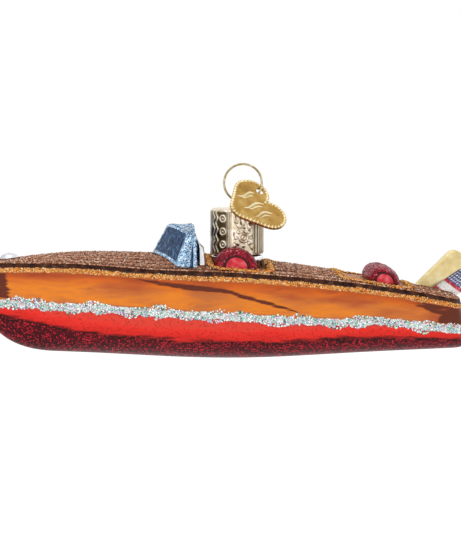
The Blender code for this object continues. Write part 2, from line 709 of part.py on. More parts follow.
def wire(name, route, diameter, material, parent):
    """A bent wire with closed ends."""
    curve = bpy.data.curves.new(name, "CURVE")
    curve.dimensions = "3D"
    curve.bevel_depth = 0.5 * diameter
    curve.bevel_resolution = 2
    curve.use_fill_caps = True
    spline = curve.splines.new("POLY")
    spline.points.add(len(route) - 1)
    for point, (x, z) in zip(spline.points, route):
        place = Vector((x, 0.0, z)) - anchor_of(parent)
        point.co = (*place, 1.0)
    curve.materials.append(material)
    thing = bpy.data.objects.new(name, curve)
    PARTS.objects.link(thing)
    thing.parent = parent
    return thing


wire("ring_clip", clip_route(), WIRE, BRASS, hanger)


# ------------------------------------------------------------------ heart tag
def heart_outline():
    """Half the heart is an arc of a lobe, a straight side and an arc of the tip."""
    lobe_x = 0.5 * TAG_WIDTH - TAG_LOBE_RADIUS
    tip_y = -(TAG_HEIGHT - TAG_LOBE_RADIUS - TAG_TIP_RADIUS)
    reach = math.hypot(lobe_x, -tip_y)
    heading = math.atan2(-tip_y, lobe_x)
    side_angle = heading - math.acos((TAG_TIP_RADIUS - TAG_LOBE_RADIUS) / reach)
    notch = math.pi - math.acos(lobe_x / TAG_LOBE_RADIUS)
    tip_arc = np.linspace(-0.5 * math.pi, side_angle, 5)
    lobe_arc = np.linspace(side_angle, notch, 15)
    right = [(TAG_TIP_RADIUS * math.cos(a), tip_y + TAG_TIP_RADIUS * math.sin(a))
             for a in tip_arc]
    right += [(lobe_x + TAG_LOBE_RADIUS * math.cos(a), TAG_LOBE_RADIUS * math.sin(a))
              for a in lobe_arc]
    left = [(-x, y) for x, y in right[-2:0:-1]]
    return right + left


tag_curve = bpy.data.curves.new("heart_tag", "CURVE")
tag_curve.dimensions = "2D"
tag_curve.fill_mode = "BOTH"
tag_curve.extrude = 0.5 * TAG_THICKNESS
hole = [(TAG_HOLE_ACROSS + 0.5 * TAG_HOLE * math.cos(a), TAG_HOLE_UP + 0.5 * TAG_HOLE * math.sin(a))
        for a in np.linspace(0, 2 * math.pi, 17)[:-1]]
for loop in (heart_outline(), hole):
    spline = tag_curve.splines.new("POLY")
    spline.points.add(len(loop) - 1)
    spline.use_cyclic_u = True
    for point, (a, b) in zip(spline.points, loop):
        point.co = (a - TAG_HOLE_ACROSS, b - TAG_HOLE_UP, 0.0, 1.0)
tag_curve.materials.append(BRASS)
tag = bpy.data.objects.new("heart_tag", tag_curve)
PARTS.objects.link(tag)
tag.parent = tag_pivot
across = TAG_ACROSS.normalized()
upward = (TAG_UP - across * TAG_UP.dot(across)).normalized()
facing = across.cross(upward)
tag.matrix_basis = Matrix((across, upward, facing)).transposed().to_4x4()
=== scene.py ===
# %% [markdown]
# # A blown-glass runabout ornament
# A glass blower makes this ornament in one piece in a mould, silvers it inside, and painters lay
# transparent lacquers, glue and glitter over it by hand. Here every painted field is a piece of its
# own, so that each can have its own surface: mirror-bright lacquer on the hull, chunky glitter on the
# boot stripe and rub band, rounded planks on the deck. A stamped cap, a spring wire and a heart tag
# of thin metal complete it.

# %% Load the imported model
import math

import bpy
import numpy as np
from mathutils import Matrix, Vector


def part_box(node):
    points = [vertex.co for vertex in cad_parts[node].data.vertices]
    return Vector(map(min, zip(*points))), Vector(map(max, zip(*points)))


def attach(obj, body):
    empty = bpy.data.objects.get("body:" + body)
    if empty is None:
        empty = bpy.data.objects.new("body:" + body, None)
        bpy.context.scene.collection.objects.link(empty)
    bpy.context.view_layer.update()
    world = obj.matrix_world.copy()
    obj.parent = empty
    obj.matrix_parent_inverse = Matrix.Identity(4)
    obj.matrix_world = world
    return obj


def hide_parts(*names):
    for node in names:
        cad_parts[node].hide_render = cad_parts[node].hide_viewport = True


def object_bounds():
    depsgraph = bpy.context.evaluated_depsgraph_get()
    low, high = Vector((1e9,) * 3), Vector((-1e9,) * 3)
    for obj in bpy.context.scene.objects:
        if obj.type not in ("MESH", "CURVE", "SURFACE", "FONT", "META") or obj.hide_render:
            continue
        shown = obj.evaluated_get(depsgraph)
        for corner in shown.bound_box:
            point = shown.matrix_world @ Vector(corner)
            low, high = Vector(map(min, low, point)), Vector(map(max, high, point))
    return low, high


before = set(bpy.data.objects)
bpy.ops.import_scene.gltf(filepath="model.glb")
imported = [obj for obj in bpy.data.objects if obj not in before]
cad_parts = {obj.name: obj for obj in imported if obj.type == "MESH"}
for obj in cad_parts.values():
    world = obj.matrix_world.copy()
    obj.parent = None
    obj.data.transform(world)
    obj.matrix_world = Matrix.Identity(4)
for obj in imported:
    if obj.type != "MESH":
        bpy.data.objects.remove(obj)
CAD_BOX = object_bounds()
MM = 0.001
rng = np.random.default_rng(1948)

# %% [markdown]
# ## Lines of the hull
# A boat is drawn with a few long curves: the sheer along the deck's edge, the keel, the plan of the
# deck and the fullness of the sections. The same curves give every painted field, so the fields meet
# without gaps. They could be drawn as Bezier curves, but as functions of x they can be asked for the
# breadth anywhere, which is what the bands, the planks and the glitter all need.

# %% Curves through a few offsets
HULL_LENGTH, BEAM = 127.0 * MM, 34.0 * MM
DECK_CAMBER = 2.9 * MM
QUARTER = 4.2 * MM            # rounding of the hull at the transom
FOREFOOT = 21.0 * MM
TRANSOM_RAKE = 0.24
STEM_X = -0.5374 * HULL_LENGTH   # the glass neck stands at x = 0
STERN_X = STEM_X + HULL_LENGTH
WIDEST_X = STEM_X + 0.409 * HULL_LENGTH
KEEL_Z = (2.3 - 24.15) * MM


def fair(shares, heights):
    """A smooth curve along the boat: cubic pieces through offsets, with the slopes of their neighbours."""
    at = STEM_X + np.array(shares) * HULL_LENGTH
    z = np.array(heights) * MM
    slope = np.gradient(z, at)

    def curve(x):
        x = np.clip(np.asarray(x, float), at[0], at[-1])
        i = np.clip(np.searchsorted(at, x) - 1, 0, len(at) - 2)
        span = at[i + 1] - at[i]
        t = (x - at[i]) / span
        return ((1 + 2 * t) * (1 - t) ** 2 * z[i] + t * (1 - t) ** 2 * span * slope[i]
                + t * t * (3 - 2 * t) * z[i + 1] - t * t * (1 - t) * span * slope[i + 1])
    return curve


sheer = fair((0.0, 0.07, 0.174, 0.3685, 0.532, 0.676, 0.88, 1.0),
             (4.0, 4.3, 4.55, 3.1, 2.1, 0.5, -3.0, -6.0))
keel_line = fair((0.0, 0.205, 0.532, 0.819, 1.0),
                 tuple(KEEL_Z / MM + rise for rise in (2.9, 1.8, 0.0, 1.3, 2.3)))
stripe_top = fair((0.0, 0.246, 0.532, 0.72, 0.86, 0.95, 1.0),
                  (-4.9, -6.1, -8.5, -10.1, -10.5, -12.3, -12.9))
# the line below which the hull bottom is painted dark maroon as painted shade
shade_line = fair((0.0, 0.164, 0.328, 0.42, 0.614, 0.819, 1.0),
                    (-8.2, -12.4, -15.2, -15.9, -16.5, -15.9, -16.4))


def smooth(a, b, x):
    """0 below a, 1 above b, and an S-curve between them."""
    t = np.clip((np.asarray(x, float) - a) / (b - a), 0, 1)
    return t * t * (3 - 2 * t)


def stern_round(x):
    """1 along the boat, falling on a superellipse to the transom."""
    t = np.clip((np.asarray(x, float) - (STERN_X - QUARTER)) / QUARTER, 0, 1)
    return (1 - (0.985 * t) ** 2.6) ** (1 / 2.6)


def half_beam(x):
    """Half breadth of the deck: a sine raised to 0.62 ahead, a run narrowing by 40 % behind."""
    x = np.asarray(x, float)
    fore = np.clip((x - STEM_X) / (WIDEST_X - STEM_X), 0, 1)
    aft = np.clip((x - WIDEST_X) / (STERN_X - WIDEST_X), 0, 1)
    plan = np.sin(0.5 * np.pi * fore) ** 0.62 * (1 - 0.40 * aft ** 1.4)
    return 0.5 * BEAM * plan * (0.30 + 0.70 * stern_round(x))


def keel(x):
    """Keel height: nearly flat, with a superellipse forefoot up to the stem head."""
    x = np.asarray(x, float)
    t = np.clip((x - STEM_X) / FOREFOOT, 0, 1)
    rise = 1 - (1 - (1 - t) ** 2.6) ** (1 / 2.6)
    base = keel_line(x) + (1 - stern_round(x)) * 4.5 * MM
    return base + rise * (sheer(x) - 3.0 * MM - base)


def side(x, z):
    """Half breadth of the hull at a height: a superellipse from the sheer to the keel."""
    s = np.clip((sheer(x) - z) / (sheer(x) - keel(x)), 0, 1)
    fullness = 2.1 + 0.5 * np.clip((x - STEM_X) / (0.6 * HULL_LENGTH), 0, 1)
    return half_beam(x) * (1 - s ** fullness) ** (1 / fullness)


def deck_top(x, y):
    """Height of the deck: the sheer plus a parabola across the beam, flatter towards the stern."""
    half = np.maximum(half_beam(x), 1e-6)
    rise = DECK_CAMBER * (1 - 0.28 * smooth(0, 0.77 * STERN_X, x)) * (half / (0.5 * BEAM)) ** 2
    return sheer(x) + rise * (1 - np.clip(np.abs(y) / half, 0, 1) ** 2)


def raked(x, z):
    """Slope the after end of the hull to the transom's rake."""
    return x + TRANSOM_RAKE * (sheer(x) - z) * smooth(STERN_X - 22 * MM, STERN_X, x)


neck_low, neck_high = (np.array(c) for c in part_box("neck"))
bottom_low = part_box("hull_bottom")[0]
xs = np.linspace(STEM_X, STERN_X, 2001)
BOAT = np.array([0.5 * (neck_low[0] + neck_high[0]), 0.0, bottom_low[2] - keel(xs).min()])
print("boat datum in the frame (mm):", np.round(BOAT / MM, 3))

# %% [markdown]
# ## From arrays to meshes
# Each piece is one grid of points, worked out at once as a numpy array. The helper joins the grid into
# quads, wraps it round if it is a tube or a shell, closes its ends with fans, and turns the faces
# outward if the enclosed volume comes out negative.

# %% Mesh helper


def skin(name, points, wrap=True, ends=True, attributes=None, smooth_shade=True, boat=True):
    """A mesh from an (n, m, 3) grid: rows are joined, columns wrap round, ends close in a fan."""
    points = np.asarray(points, float)
    n, m = points.shape[:2]
    verts = points.reshape(-1, 3)
    i, j = np.meshgrid(np.arange(n - 1), np.arange(m if wrap else m - 1), indexing="ij")
    nxt = (j + 1) % m
    quads = np.stack([i * m + j, i * m + nxt, (i + 1) * m + nxt, (i + 1) * m + j], -1).reshape(-1, 4)
    tris = np.zeros((0, 3), int)
    values = {k: np.asarray(v, float).reshape(-1) for k, v in (attributes or {}).items()}
    if ends and wrap:
        around = np.arange(m)
        after = (around + 1) % m
        first, last = len(verts), len(verts) + 1
        verts = np.vstack([verts, points[0].mean(0), points[-1].mean(0)])
        base = (n - 1) * m
        tris = np.vstack([np.column_stack([after, around, np.full(m, first)]),
                          np.column_stack([base + around, base + after, np.full(m, last)])])
        values = {k: np.concatenate([v, [v[:m].mean(), v[-m:].mean()]]) for k, v in values.items()}
    a, b, c, d = (verts[quads[:, k]] for k in range(4))
    volume = (np.einsum("ij,ij->i", a, np.cross(b, c)) + np.einsum("ij,ij->i", a, np.cross(c, d))).sum()
    if len(tris):
        volume += np.einsum("ij,ij->i", verts[tris[:, 0]],
                            np.cross(verts[tris[:, 1]], verts[tris[:, 2]])).sum()
    if volume < 0:
        quads, tris = quads[:, ::-1], tris[:, ::-1]
    return build(name, verts, quads, tris, values, smooth_shade, boat)


def build(name, verts, quads, tris, values=None, smooth_shade=True, boat=True):
    """Put arrays of points, quads and triangles into a new object at the world's origin."""
    if boat:
        verts = verts + BOAT
    mesh = bpy.data.meshes.new(name)
    loops = np.concatenate([quads.ravel(), tris.ravel()]).astype(np.int32)
    starts = np.concatenate([np.arange(len(quads)) * 4, 4 * len(quads) + np.arange(len(tris)) * 3])
    mesh.vertices.add(len(verts))
    mesh.vertices.foreach_set("co", np.ascontiguousarray(verts, np.float32).ravel())
    mesh.loops.add(len(loops))
    mesh.loops.foreach_set("vertex_index", loops)
    mesh.polygons.add(len(quads) + len(tris))
    mesh.polygons.foreach_set("loop_start", starts.astype(np.int32))
    mesh.update(calc_edges=True)
    mesh.validate()
    for key, value in (values or {}).items():
        layer = mesh.attributes.new(key, "FLOAT", "POINT")
        layer.data.foreach_set("value", np.ascontiguousarray(value, np.float32))
    if smooth_shade:
        mesh.shade_smooth()
    thing = bpy.data.objects.new(name, mesh)
    bpy.context.scene.collection.objects.link(thing)
    print(f"{name}: {len(mesh.polygons)} faces")
    return thing


def dress(thing, material, body, slot, *nodes):
    """Give a piece its material and the body it moves with, and hide the imported nodes it stands for. The
    slot is not used.
    """
    thing.data.materials.append(material)
    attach(thing, body)
    if nodes:
        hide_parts(*nodes)
    return thing


# %% [markdown]
# ## Materials: helpers
# Lacquer over silvered glass acts like coloured metal: the mirror behind the lacquer tints what it
# reflects, and the glass adds a clear, sharp gloss on top. Glitter is thousands of little foil mirrors,
# each turned its own way, so the eye sees single bright and dark specks.

# %% Colour and node helpers


def linear(code):
    """An sRGB hex colour as linear RGBA."""
    values = [int(code[k:k + 2], 16) / 255 for k in (0, 2, 4)]
    return tuple(v / 12.92 if v <= 0.04045 else ((v + 0.055) / 1.055) ** 2.4 for v in values) + (1.0,)


def new_material(name, roughness=0.4, metallic=0.0, colour="808080", coat=0.0, coat_roughness=0.05):
    """A material with one Principled shader, and its node tree."""
    material = bpy.data.materials.new(name)
    material.use_nodes = True
    shader = material.node_tree.nodes["Principled BSDF"]
    shader.inputs["Base Color"].default_value = linear(colour)
    shader.inputs["Roughness"].default_value = roughness
    shader.inputs["Metallic"].default_value = metallic
    shader.inputs["Coat Weight"].default_value = coat
    shader.inputs["Coat Roughness"].default_value = coat_roughness
    return material, material.node_tree, shader


def add(tree, kind, links=None, stops=(), **settings):
    """Add a node.

    Settings are its properties, links maps inputs to values or sockets, and stops are the (position, hex)
    pairs of a colour ramp. A Mix node keeps its factor in input 0, its colours in 6 and 7 and its result
    in output 2.
    """
    node = tree.nodes.new(kind)
    for key, value in settings.items():
        setattr(node, key, value)
    for key, value in (links or {}).items():
        if isinstance(value, bpy.types.NodeSocket):
            tree.links.new(value, node.inputs[key])
        else:
            node.inputs[key].default_value = value
    if stops:
        elements = node.color_ramp.elements
        while len(elements) < len(stops):
            elements.new(0.5)
        for element, (position, colour) in zip(elements, stops):
            element.position = position
            element.color = linear(colour)
    return node


def place(tree, scale=(1, 1, 1)):
    """Object coordinates, stretched so that 1 is one millimetre times the scale."""
    coordinates = add(tree, "ShaderNodeTexCoord")
    mapping = add(tree, "ShaderNodeMapping", {"Vector": coordinates.outputs["Object"],
                                              "Scale": tuple(1000 * s for s in scale)})
    return mapping.outputs["Vector"]


def mottle(tree, shader, scale, detail, stops):
    """A base colour that drifts softly over a piece, as hand-laid lacquer and plating do; gives the noise."""
    patches = add(tree, "ShaderNodeTexNoise",
                  {"Vector": place(tree, (scale,) * 3), "Scale": 1.0, "Detail": detail})
    colour = add(tree, "ShaderNodeValToRGB", {"Fac": patches.outputs["Fac"]}, stops)
    tree.links.new(colour.outputs["Color"], shader.inputs["Base Color"])
    return patches


# %% [markdown]
# ## Glitter
# Glitter is die-cut foil. Its flakes on the real ornament are a few tenths of a millimetre across and
# lie tilted in the glue. They could be a bump pattern, but the edge of a glittered band is visibly
# ragged, so the flakes are real: a flat six-sided double pyramid, worked out for all places at once,
# each with its own tilt and its own number, which picks its colour.

# %% Flakes as one joined mesh


def flakes(name, points, normals, radius, tilt, lift=0.0):
    """Little hexagonal foils at points, tilted at random from the surface normals."""
    count = len(points)
    normals = normals / np.linalg.norm(normals, axis=1, keepdims=True)
    lean = normals + rng.normal(0, tilt, (count, 3))
    lean /= np.linalg.norm(lean, axis=1, keepdims=True)
    helper = rng.normal(0, 1, (count, 3))
    first = np.cross(lean, helper)
    first /= np.linalg.norm(first, axis=1, keepdims=True)
    second = np.cross(lean, first)
    size = radius * rng.uniform(0.7, 1.25, count)
    angle = np.arange(6) * np.pi / 3
    rim = (points[:, None] + size[:, None, None]
           * (np.cos(angle)[None, :, None] * first[:, None] + np.sin(angle)[None, :, None] * second[:, None]))
    rim = rim + (normals * lift)[:, None]
    middle = rim.mean(1)
    thick = 0.16 * size[:, None] * lean
    verts = np.concatenate([rim, (middle + thick)[:, None], (middle - thick)[:, None]], 1).reshape(-1, 3)
    k = np.arange(6)
    up = np.column_stack([k, (k + 1) % 6, np.full(6, 6)])
    down = np.column_stack([(k + 1) % 6, k, np.full(6, 7)])
    tris = (np.concatenate([up, down])[None] + 8 * np.arange(count)[:, None, None]).reshape(-1, 3)
    pick = np.repeat(rng.random(count), 8)
    return build(name, verts, np.zeros((0, 4), int), tris, {"pick": pick}, smooth_shade=False)


def foil(name, stops, roughness=0.22):
    """Foil glitter: polyester film with a thin metal coat; every flake takes one colour.

    The grey edge tint keeps flakes that are seen edge-on from all turning as pale as the room.
    """
    material, tree, shader = new_material(name, roughness, 0.7)
    shader.inputs["Specular Tint"].default_value = linear("7A7A7A")
    pick = add(tree, "ShaderNodeAttribute", attribute_name="pick")
    colours = add(tree, "ShaderNodeValToRGB", {"Fac": pick.outputs["Fac"]}, stops)
    colours.color_ramp.interpolation = "CONSTANT"
    tree.links.new(colours.outputs["Color"], shader.inputs["Base Color"])
    return material


def glue(name, stops, grain=2.6, above=None, below=None, height=0.12):
    """The bed under the flakes: dust in glue as small cells, and bare paint where the glue stops short.

    The bed's share attribute runs from 0 at its upper line to 1 at its lower line, and noise shifts it.
    """
    material, tree, shader = new_material(name, 0.5, 0.2)
    cells = add(tree, "ShaderNodeTexVoronoi", {"Vector": place(tree), "Scale": grain})
    spread = add(tree, "ShaderNodeSeparateColor", {"Color": cells.outputs["Color"]})
    colour = add(tree, "ShaderNodeValToRGB", {"Fac": spread.outputs["Red"]}, stops).outputs["Color"]
    if above:
        share = add(tree, "ShaderNodeAttribute", attribute_name="share")
        wander = add(tree, "ShaderNodeTexNoise", {"Vector": place(tree), "Scale": 0.8, "Detail": 3.0})
        moved = add(tree, "ShaderNodeMath", {0: wander.outputs["Fac"], 1: 0.7, 2: -0.35},
                    operation="MULTIPLY_ADD")
        total = add(tree, "ShaderNodeMath", {0: share.outputs["Fac"], 1: moved.outputs["Value"]},
                    operation="ADD")
        for paint, inner, outer in ((above, 0.20, 0.14), (below, 0.80, 0.86)):
            bare = add(tree, "ShaderNodeMapRange",
                       {"Value": total.outputs["Value"], "From Min": inner, "From Max": outer})
            mix = add(tree, "ShaderNodeMix", {0: bare.outputs["Result"], 6: colour, 7: linear(paint)},
                      data_type="RGBA")
            colour = mix.outputs[2]
    tree.links.new(colour, shader.inputs["Base Color"])
    bump = add(tree, "ShaderNodeBump", {"Height": cells.outputs["Distance"], "Distance": height * MM})
    tree.links.new(bump.outputs["Normal"], shader.inputs["Normal"])
    return material


# the foils' own colours are mixed with white and pale flakes as painted glints and near-black flakes as
# painted shade
PEARL_FOIL = foil("iridescent_pearl_foil",
                  [(0.0, "FFFFFF"), (0.26, "BDF0DA"), (0.40, "F4FAF6"), (0.54, "DCCDF2"), (0.62, "9CCFC0"),
                   (0.72, "FFFFFF"), (0.80, "F2C8D2"), (0.87, "C6E4F4"), (0.93, "6C8A86")])
GILT_FOIL = foil("gold_and_copper_foil",
                 [(0.0, "FFB048"), (0.24, "D06A1E"), (0.40, "FFDC84"), (0.6, "F09434"), (0.74, "FFF6D8"),
                  (0.84, "7A3010"), (0.92, "FFC460")])
COPPER_FOIL = foil("copper_foil", [(0.0, "E8B08A"), (0.22, "8E5032"), (0.42, "FFDCC2"), (0.58, "B86E46"),
                                   (0.70, "FFFAF4"), (0.84, "4A2014"), (0.93, "D9925E")])
CRIMSON_FOIL = foil("crimson_foil",
                    [(0.0, "B0122E"), (0.3, "7A0A1E"), (0.55, "D02A48"), (0.75, "55060F"),
                     (0.95, "F07890")])
BLUE_FOIL = foil("ice_blue_foil", [(0.0, "B4DCF4"), (0.20, "5C93C4"), (0.36, "FFFFFF"), (0.54, "8FBCE0"),
                                        (0.68, "1E3F74"), (0.82, "DCF2FC"), (0.93, "3A6CA4")])

# %% [markdown]
# ## The painted fields of the hull
# A field is the part of the hull between two heights that run along the boat. Each is made as a closed
# slice, a stack of cross-sections from the stem to the transom, so it could be made in glass by itself.

# %% Slices of the hull
EDGE, DARK, RUB, SEAM, STRIPE = 0.2 * MM, 0.4 * MM, 1.3 * MM, 0.3 * MM, 2.7 * MM


def stations(start, count=240):
    """Cross-section places, closer together at the bow and the transom."""
    x = STEM_X + HULL_LENGTH * (0.5 - 0.5 * np.cos(np.pi * np.linspace(0, 1, count)))
    x[0] = STEM_X + 1e-6
    return np.concatenate([[start], x[x > start + 5e-5]])


def begin(upper):
    """Where a slice begins: the stem, or where the forefoot crosses its top."""
    x = np.linspace(STEM_X + 1e-6, STEM_X + FOREFOOT, 3000)
    return x[np.argmax(keel(x) < upper(x) - 3e-5)]


def slice_points(upper, lower, rows, proud=0.0):
    """Rings of a slice: down the port side, then up the starboard side."""
    x = stations(begin(upper))[:, None]
    top = upper(x)
    bottom = np.maximum(lower(x), keel(x))
    s = 0.5 - 0.5 * np.cos(np.linspace(0, np.pi, rows))[None, :]
    z = top + (bottom - top) * s
    y = side(x, z) + proud * np.sin(np.pi * s) ** 0.5
    port = np.stack([raked(x, z), -y, z], -1)
    starboard = np.stack([raked(x, z), y, z], -1)[:, ::-1]
    return np.concatenate([port, starboard], 1)


def covering_top(x):
    """Top of the dark board: the sheer less the deck's edge."""
    return sheer(x) - EDGE


def rub_top(x):
    """Top of the rub band: the dark board and two seams below its top."""
    return sheer(x) - EDGE - DARK - 2 * SEAM


def rub_bottom(x):
    """Bottom of the rub band and the seam under it."""
    return rub_top(x) - RUB - SEAM


def stripe_low(x):
    """Bottom of the boot stripe: its top less its width."""
    return stripe_top(x) - STRIPE


def below_keel(x):
    """A height far below the boat, so that a slice ends on the keel."""
    return np.full_like(np.asarray(x, float), -1.0)


# %% Red hull bottom, as a mesh
red_points = slice_points(stripe_low, below_keel, 44)
# height above the shade line in millimetres, which places the painted shade
above = (red_points[..., 2] - shade_line(red_points[..., 0])) / MM
hull_bottom = skin("red_hull_bottom", red_points, attributes={"above_shade_line": above})

# %% [markdown]
# ## Red lacquer
# Transparent red lacquer over silver, with the finest glitter dusted on while it was wet. Above a soft
# edge it is bright, and below it the bottom is painted deep maroon as painted shade, the dark below
# reflected in the mirrored glass; in it the dust shows as single red sparks. The edge is an attribute
# of the mesh, so it follows the boat's own lines, and noise stretched along the boat drags it out as a
# brush does.

# %% Red lacquer, as nodes
RED, tree, shader = new_material("red_lacquer_on_silvered_glass", 0.4)
rise = add(tree, "ShaderNodeAttribute", attribute_name="above_shade_line")
drag = add(tree, "ShaderNodeTexNoise", {"Vector": place(tree, (0.10, 0.10, 0.9)), "Scale": 1.0, "Detail": 5.0,
                                        "Roughness": 0.65})
shift = add(tree, "ShaderNodeMath", {0: drag.outputs["Fac"], 1: 4.4, 2: -2.2}, operation="MULTIPLY_ADD")
total = add(tree, "ShaderNodeMath", {0: rise.outputs["Fac"], 1: shift.outputs["Value"]}, operation="ADD")
tone = add(tree, "ShaderNodeMapRange", {"Value": total.outputs["Value"], "From Min": -4.0, "From Max": 4.0})
gloss = add(tree, "ShaderNodeMapRange", {"Value": total.outputs["Value"], "From Min": -1.0, "From Max": 3.0,
                                         "To Max": 0.2})
tree.links.new(gloss.outputs["Result"], shader.inputs["Coat Weight"])
shader.inputs["Specular IOR Level"].default_value = 0.08
# bright red above the shade line; below it maroon as painted shade, darkest just under the line
lit_and_shaded_red = add(tree, "ShaderNodeValToRGB", {"Fac": tone.outputs["Result"]},
             [(0.0, "340810"), (0.34, "460C14"), (0.45, "240806"), (0.51, "7C1614"), (0.56, "CC221A"),
              (0.8, "DE2C20"), (1.0, "D43C2C")])
dust = add(tree, "ShaderNodeTexVoronoi", {"Vector": place(tree), "Scale": 1.9})
grain = add(tree, "ShaderNodeSeparateColor", {"Color": dust.outputs["Color"]})
dot = add(tree, "ShaderNodeMapRange", {"Value": dust.outputs["Distance"], "From Min": 0.55, "From Max": 0.36})
picked = add(tree, "ShaderNodeValToRGB", {"Fac": grain.outputs["Red"]},
             [(0.0, "000000"), (0.30, "000000"), (0.42, "8A8A8A"), (1.0, "FFFFFF")])
lit = add(tree, "ShaderNodeMath", {0: picked.outputs["Color"], 1: dot.outputs["Result"]},
          operation="MULTIPLY")
low = add(tree, "ShaderNodeMapRange", {"Value": total.outputs["Value"], "From Min": 0.6, "From Max": -0.6,
                                       "To Min": 0.0, "To Max": 0.9})
sparks = add(tree, "ShaderNodeMath", {0: lit.outputs["Value"], 1: low.outputs["Result"]},
             operation="MULTIPLY")
dark_pick = add(tree, "ShaderNodeValToRGB", {"Fac": grain.outputs["Blue"]},
                [(0.0, "000000"), (0.56, "000000"), (0.62, "7C7C7C"), (1.0, "C0C0C0")])
dark_dot = add(tree, "ShaderNodeMath", {0: dark_pick.outputs["Color"], 1: dot.outputs["Result"]},
               operation="MULTIPLY")
dusted = add(tree, "ShaderNodeMix",
             {0: dark_dot.outputs["Value"], 6: lit_and_shaded_red.outputs["Color"], 7: linear("6A1010")},
             data_type="RGBA")
lacquer = add(tree, "ShaderNodeMix",
              {0: sparks.outputs["Value"], 6: dusted.outputs[2], 7: linear("D02234")}, data_type="RGBA")
tree.links.new(lacquer.outputs[2], shader.inputs["Base Color"])
bump = add(tree, "ShaderNodeBump", {"Height": grain.outputs["Green"], "Distance": 0.012 * MM})
tree.links.new(bump.outputs["Normal"], shader.inputs["Normal"])
dress(hull_bottom, RED, "boat", "red_lacquer", "hull_bottom")

# %% [markdown]
# ## Amber topsides
# The sides are mirror glass under orange varnish. Long brown strokes in the colour are painted
# reflection and shade: a painted reflection slants down amidships, painted shade darkens the quarter,
# the turn of the transom and the stem, and a painted highlight lightens the transom. Each stroke is
# a smooth function over the side, and stretched noise breaks its edges.

# %% Topsides, as a mesh


def topsides_top(x):
    """The topsides begin where the rub band's seam ends."""
    return rub_bottom(x)


side_points = slice_points(topsides_top, stripe_top, 26)


def stroke(x, up, along, heights, width):
    """1 on a stroke of painted reflection through points, fading across its width."""
    centre = np.interp(x, along, heights)
    thick = np.interp(x, along, width)
    return np.clip(1 - ((up - centre) / thick) ** 2, 0, 1)


px, pz = side_points[..., 0] / MM, side_points[..., 2]
up = (pz - stripe_top(side_points[...,
                                  0])) / (topsides_top(side_points[..., 0]) - stripe_top(side_points[..., 0]))
# a painted reflection: a dark stroke slanting down amidships
painted_dark_streak = stroke(px, up, (-28, -24, -16, -3, 1, 8, 13, 16), (1.0, 0.92, 0.80, 0.68, 0.52, 0.34, 0.2, 0.1),
               (0.001, 0.08, 0.14, 0.09, 0.10, 0.10, 0.06, 0.001))
# painted shade along the quarter under the rub band, towards the transom
quarter_shade = smooth(40, 53, px) * smooth(0.80, 1.0, up + 0.42 * smooth(40, 56, px))
off_middle = np.abs(side_points[..., 1]) / MM
# a painted highlight on the transom
transom_highlight = np.exp(-((off_middle - 6.5) / 2.4) ** 2 - ((up - 0.45) / 0.22) ** 2) * smooth(56.5, 58.0, px)
# painted shade down the corner where the side turns into the transom, left off the highlight
corner = smooth(51.8, 53.6, px + 0.6 * np.sin(9 * up)) * (1 - transom_highlight)
# painted shade at the stem
stem = smooth(-58.9, -61.2, px + 1.2 * up)
shade_and_reflection = np.maximum(np.maximum(painted_dark_streak, quarter_shade), np.maximum(stem, corner))
topsides = skin("amber_topsides", side_points, attributes={"painted_dark_streak": shade_and_reflection, "up": up})

# %% Amber varnish, as nodes
AMBER, tree, shader = new_material("amber_varnish_on_silvered_glass", 0.25, 0.25, coat=0.1)
shader.inputs["Specular IOR Level"].default_value = 0.2
dark_streak = add(tree, "ShaderNodeAttribute", attribute_name="painted_dark_streak")
height = add(tree, "ShaderNodeAttribute", attribute_name="up")
clouds = add(tree, "ShaderNodeTexNoise",
             {"Vector": place(tree, (0.05, 0.05, 0.22)), "Scale": 1.0, "Detail": 3.0})
wisps = add(tree, "ShaderNodeTexNoise",
            {"Vector": place(tree, (0.16, 0.16, 1.3)), "Scale": 1.0, "Detail": 5.0, "Roughness": 0.6})
orange = add(tree, "ShaderNodeValToRGB", {"Fac": clouds.outputs["Fac"]},
             [(0.30, "A84E24"), (0.42, "C26A2A"), (0.53, "DA7A1C"), (0.68, "B66430")])
# darker and redder towards the top of the topsides
reddish = add(tree, "ShaderNodeValToRGB", {"Fac": height.outputs["Fac"]},
              [(0.0, "FFFFFF"), (0.5, "FFFFFF"), (0.86, "E6B296"), (1.0, "CC8C6C")])
varnish = add(tree, "ShaderNodeMix", {0: 0.8, 6: orange.outputs["Color"], 7: reddish.outputs["Color"]},
              data_type="RGBA", blend_type="MULTIPLY")
broken = add(tree, "ShaderNodeMath", {0: wisps.outputs["Fac"], 1: 2.1, 2: -1.05}, operation="MULTIPLY_ADD")
reach = add(tree, "ShaderNodeMath", {0: dark_streak.outputs["Fac"], 1: broken.outputs["Value"]}, operation="ADD")
# the painted reflection and shade, with broken edges, laid over the varnish in dark brown
mask = add(tree, "ShaderNodeMapRange", {"Value": reach.outputs["Value"], "From Min": 0.28, "From Max": 0.74})
streak_shaded = add(tree, "ShaderNodeMix",
              {0: mask.outputs["Result"], 6: varnish.outputs[2], 7: linear("5E2410")}, data_type="RGBA")
tree.links.new(streak_shaded.outputs[2], shader.inputs["Base Color"])
dress(topsides, AMBER, "boat", "amber_varnish", "topsides")

# %% [markdown]
# ## Boot stripe, rub band and covering board
# The pale stripe and the gilt band are chunky glitter in wet glue, so their edges wander. Their slices
# of the hull are painted with glue and dust, and the flakes stand in it. The dark line above them is a
# single brush line of brown.

# %% Where glitter lies along the hull
plan_x = STEM_X + HULL_LENGTH * (0.5 - 0.5 * np.cos(np.pi * np.linspace(0, 1, 1500)))
plan_y = half_beam(plan_x)
plan_arc = np.concatenate([[0], np.cumsum(np.hypot(np.diff(plan_x), np.diff(plan_y)))])
FULL_ARC = plan_arc[-1] + plan_y[-1]


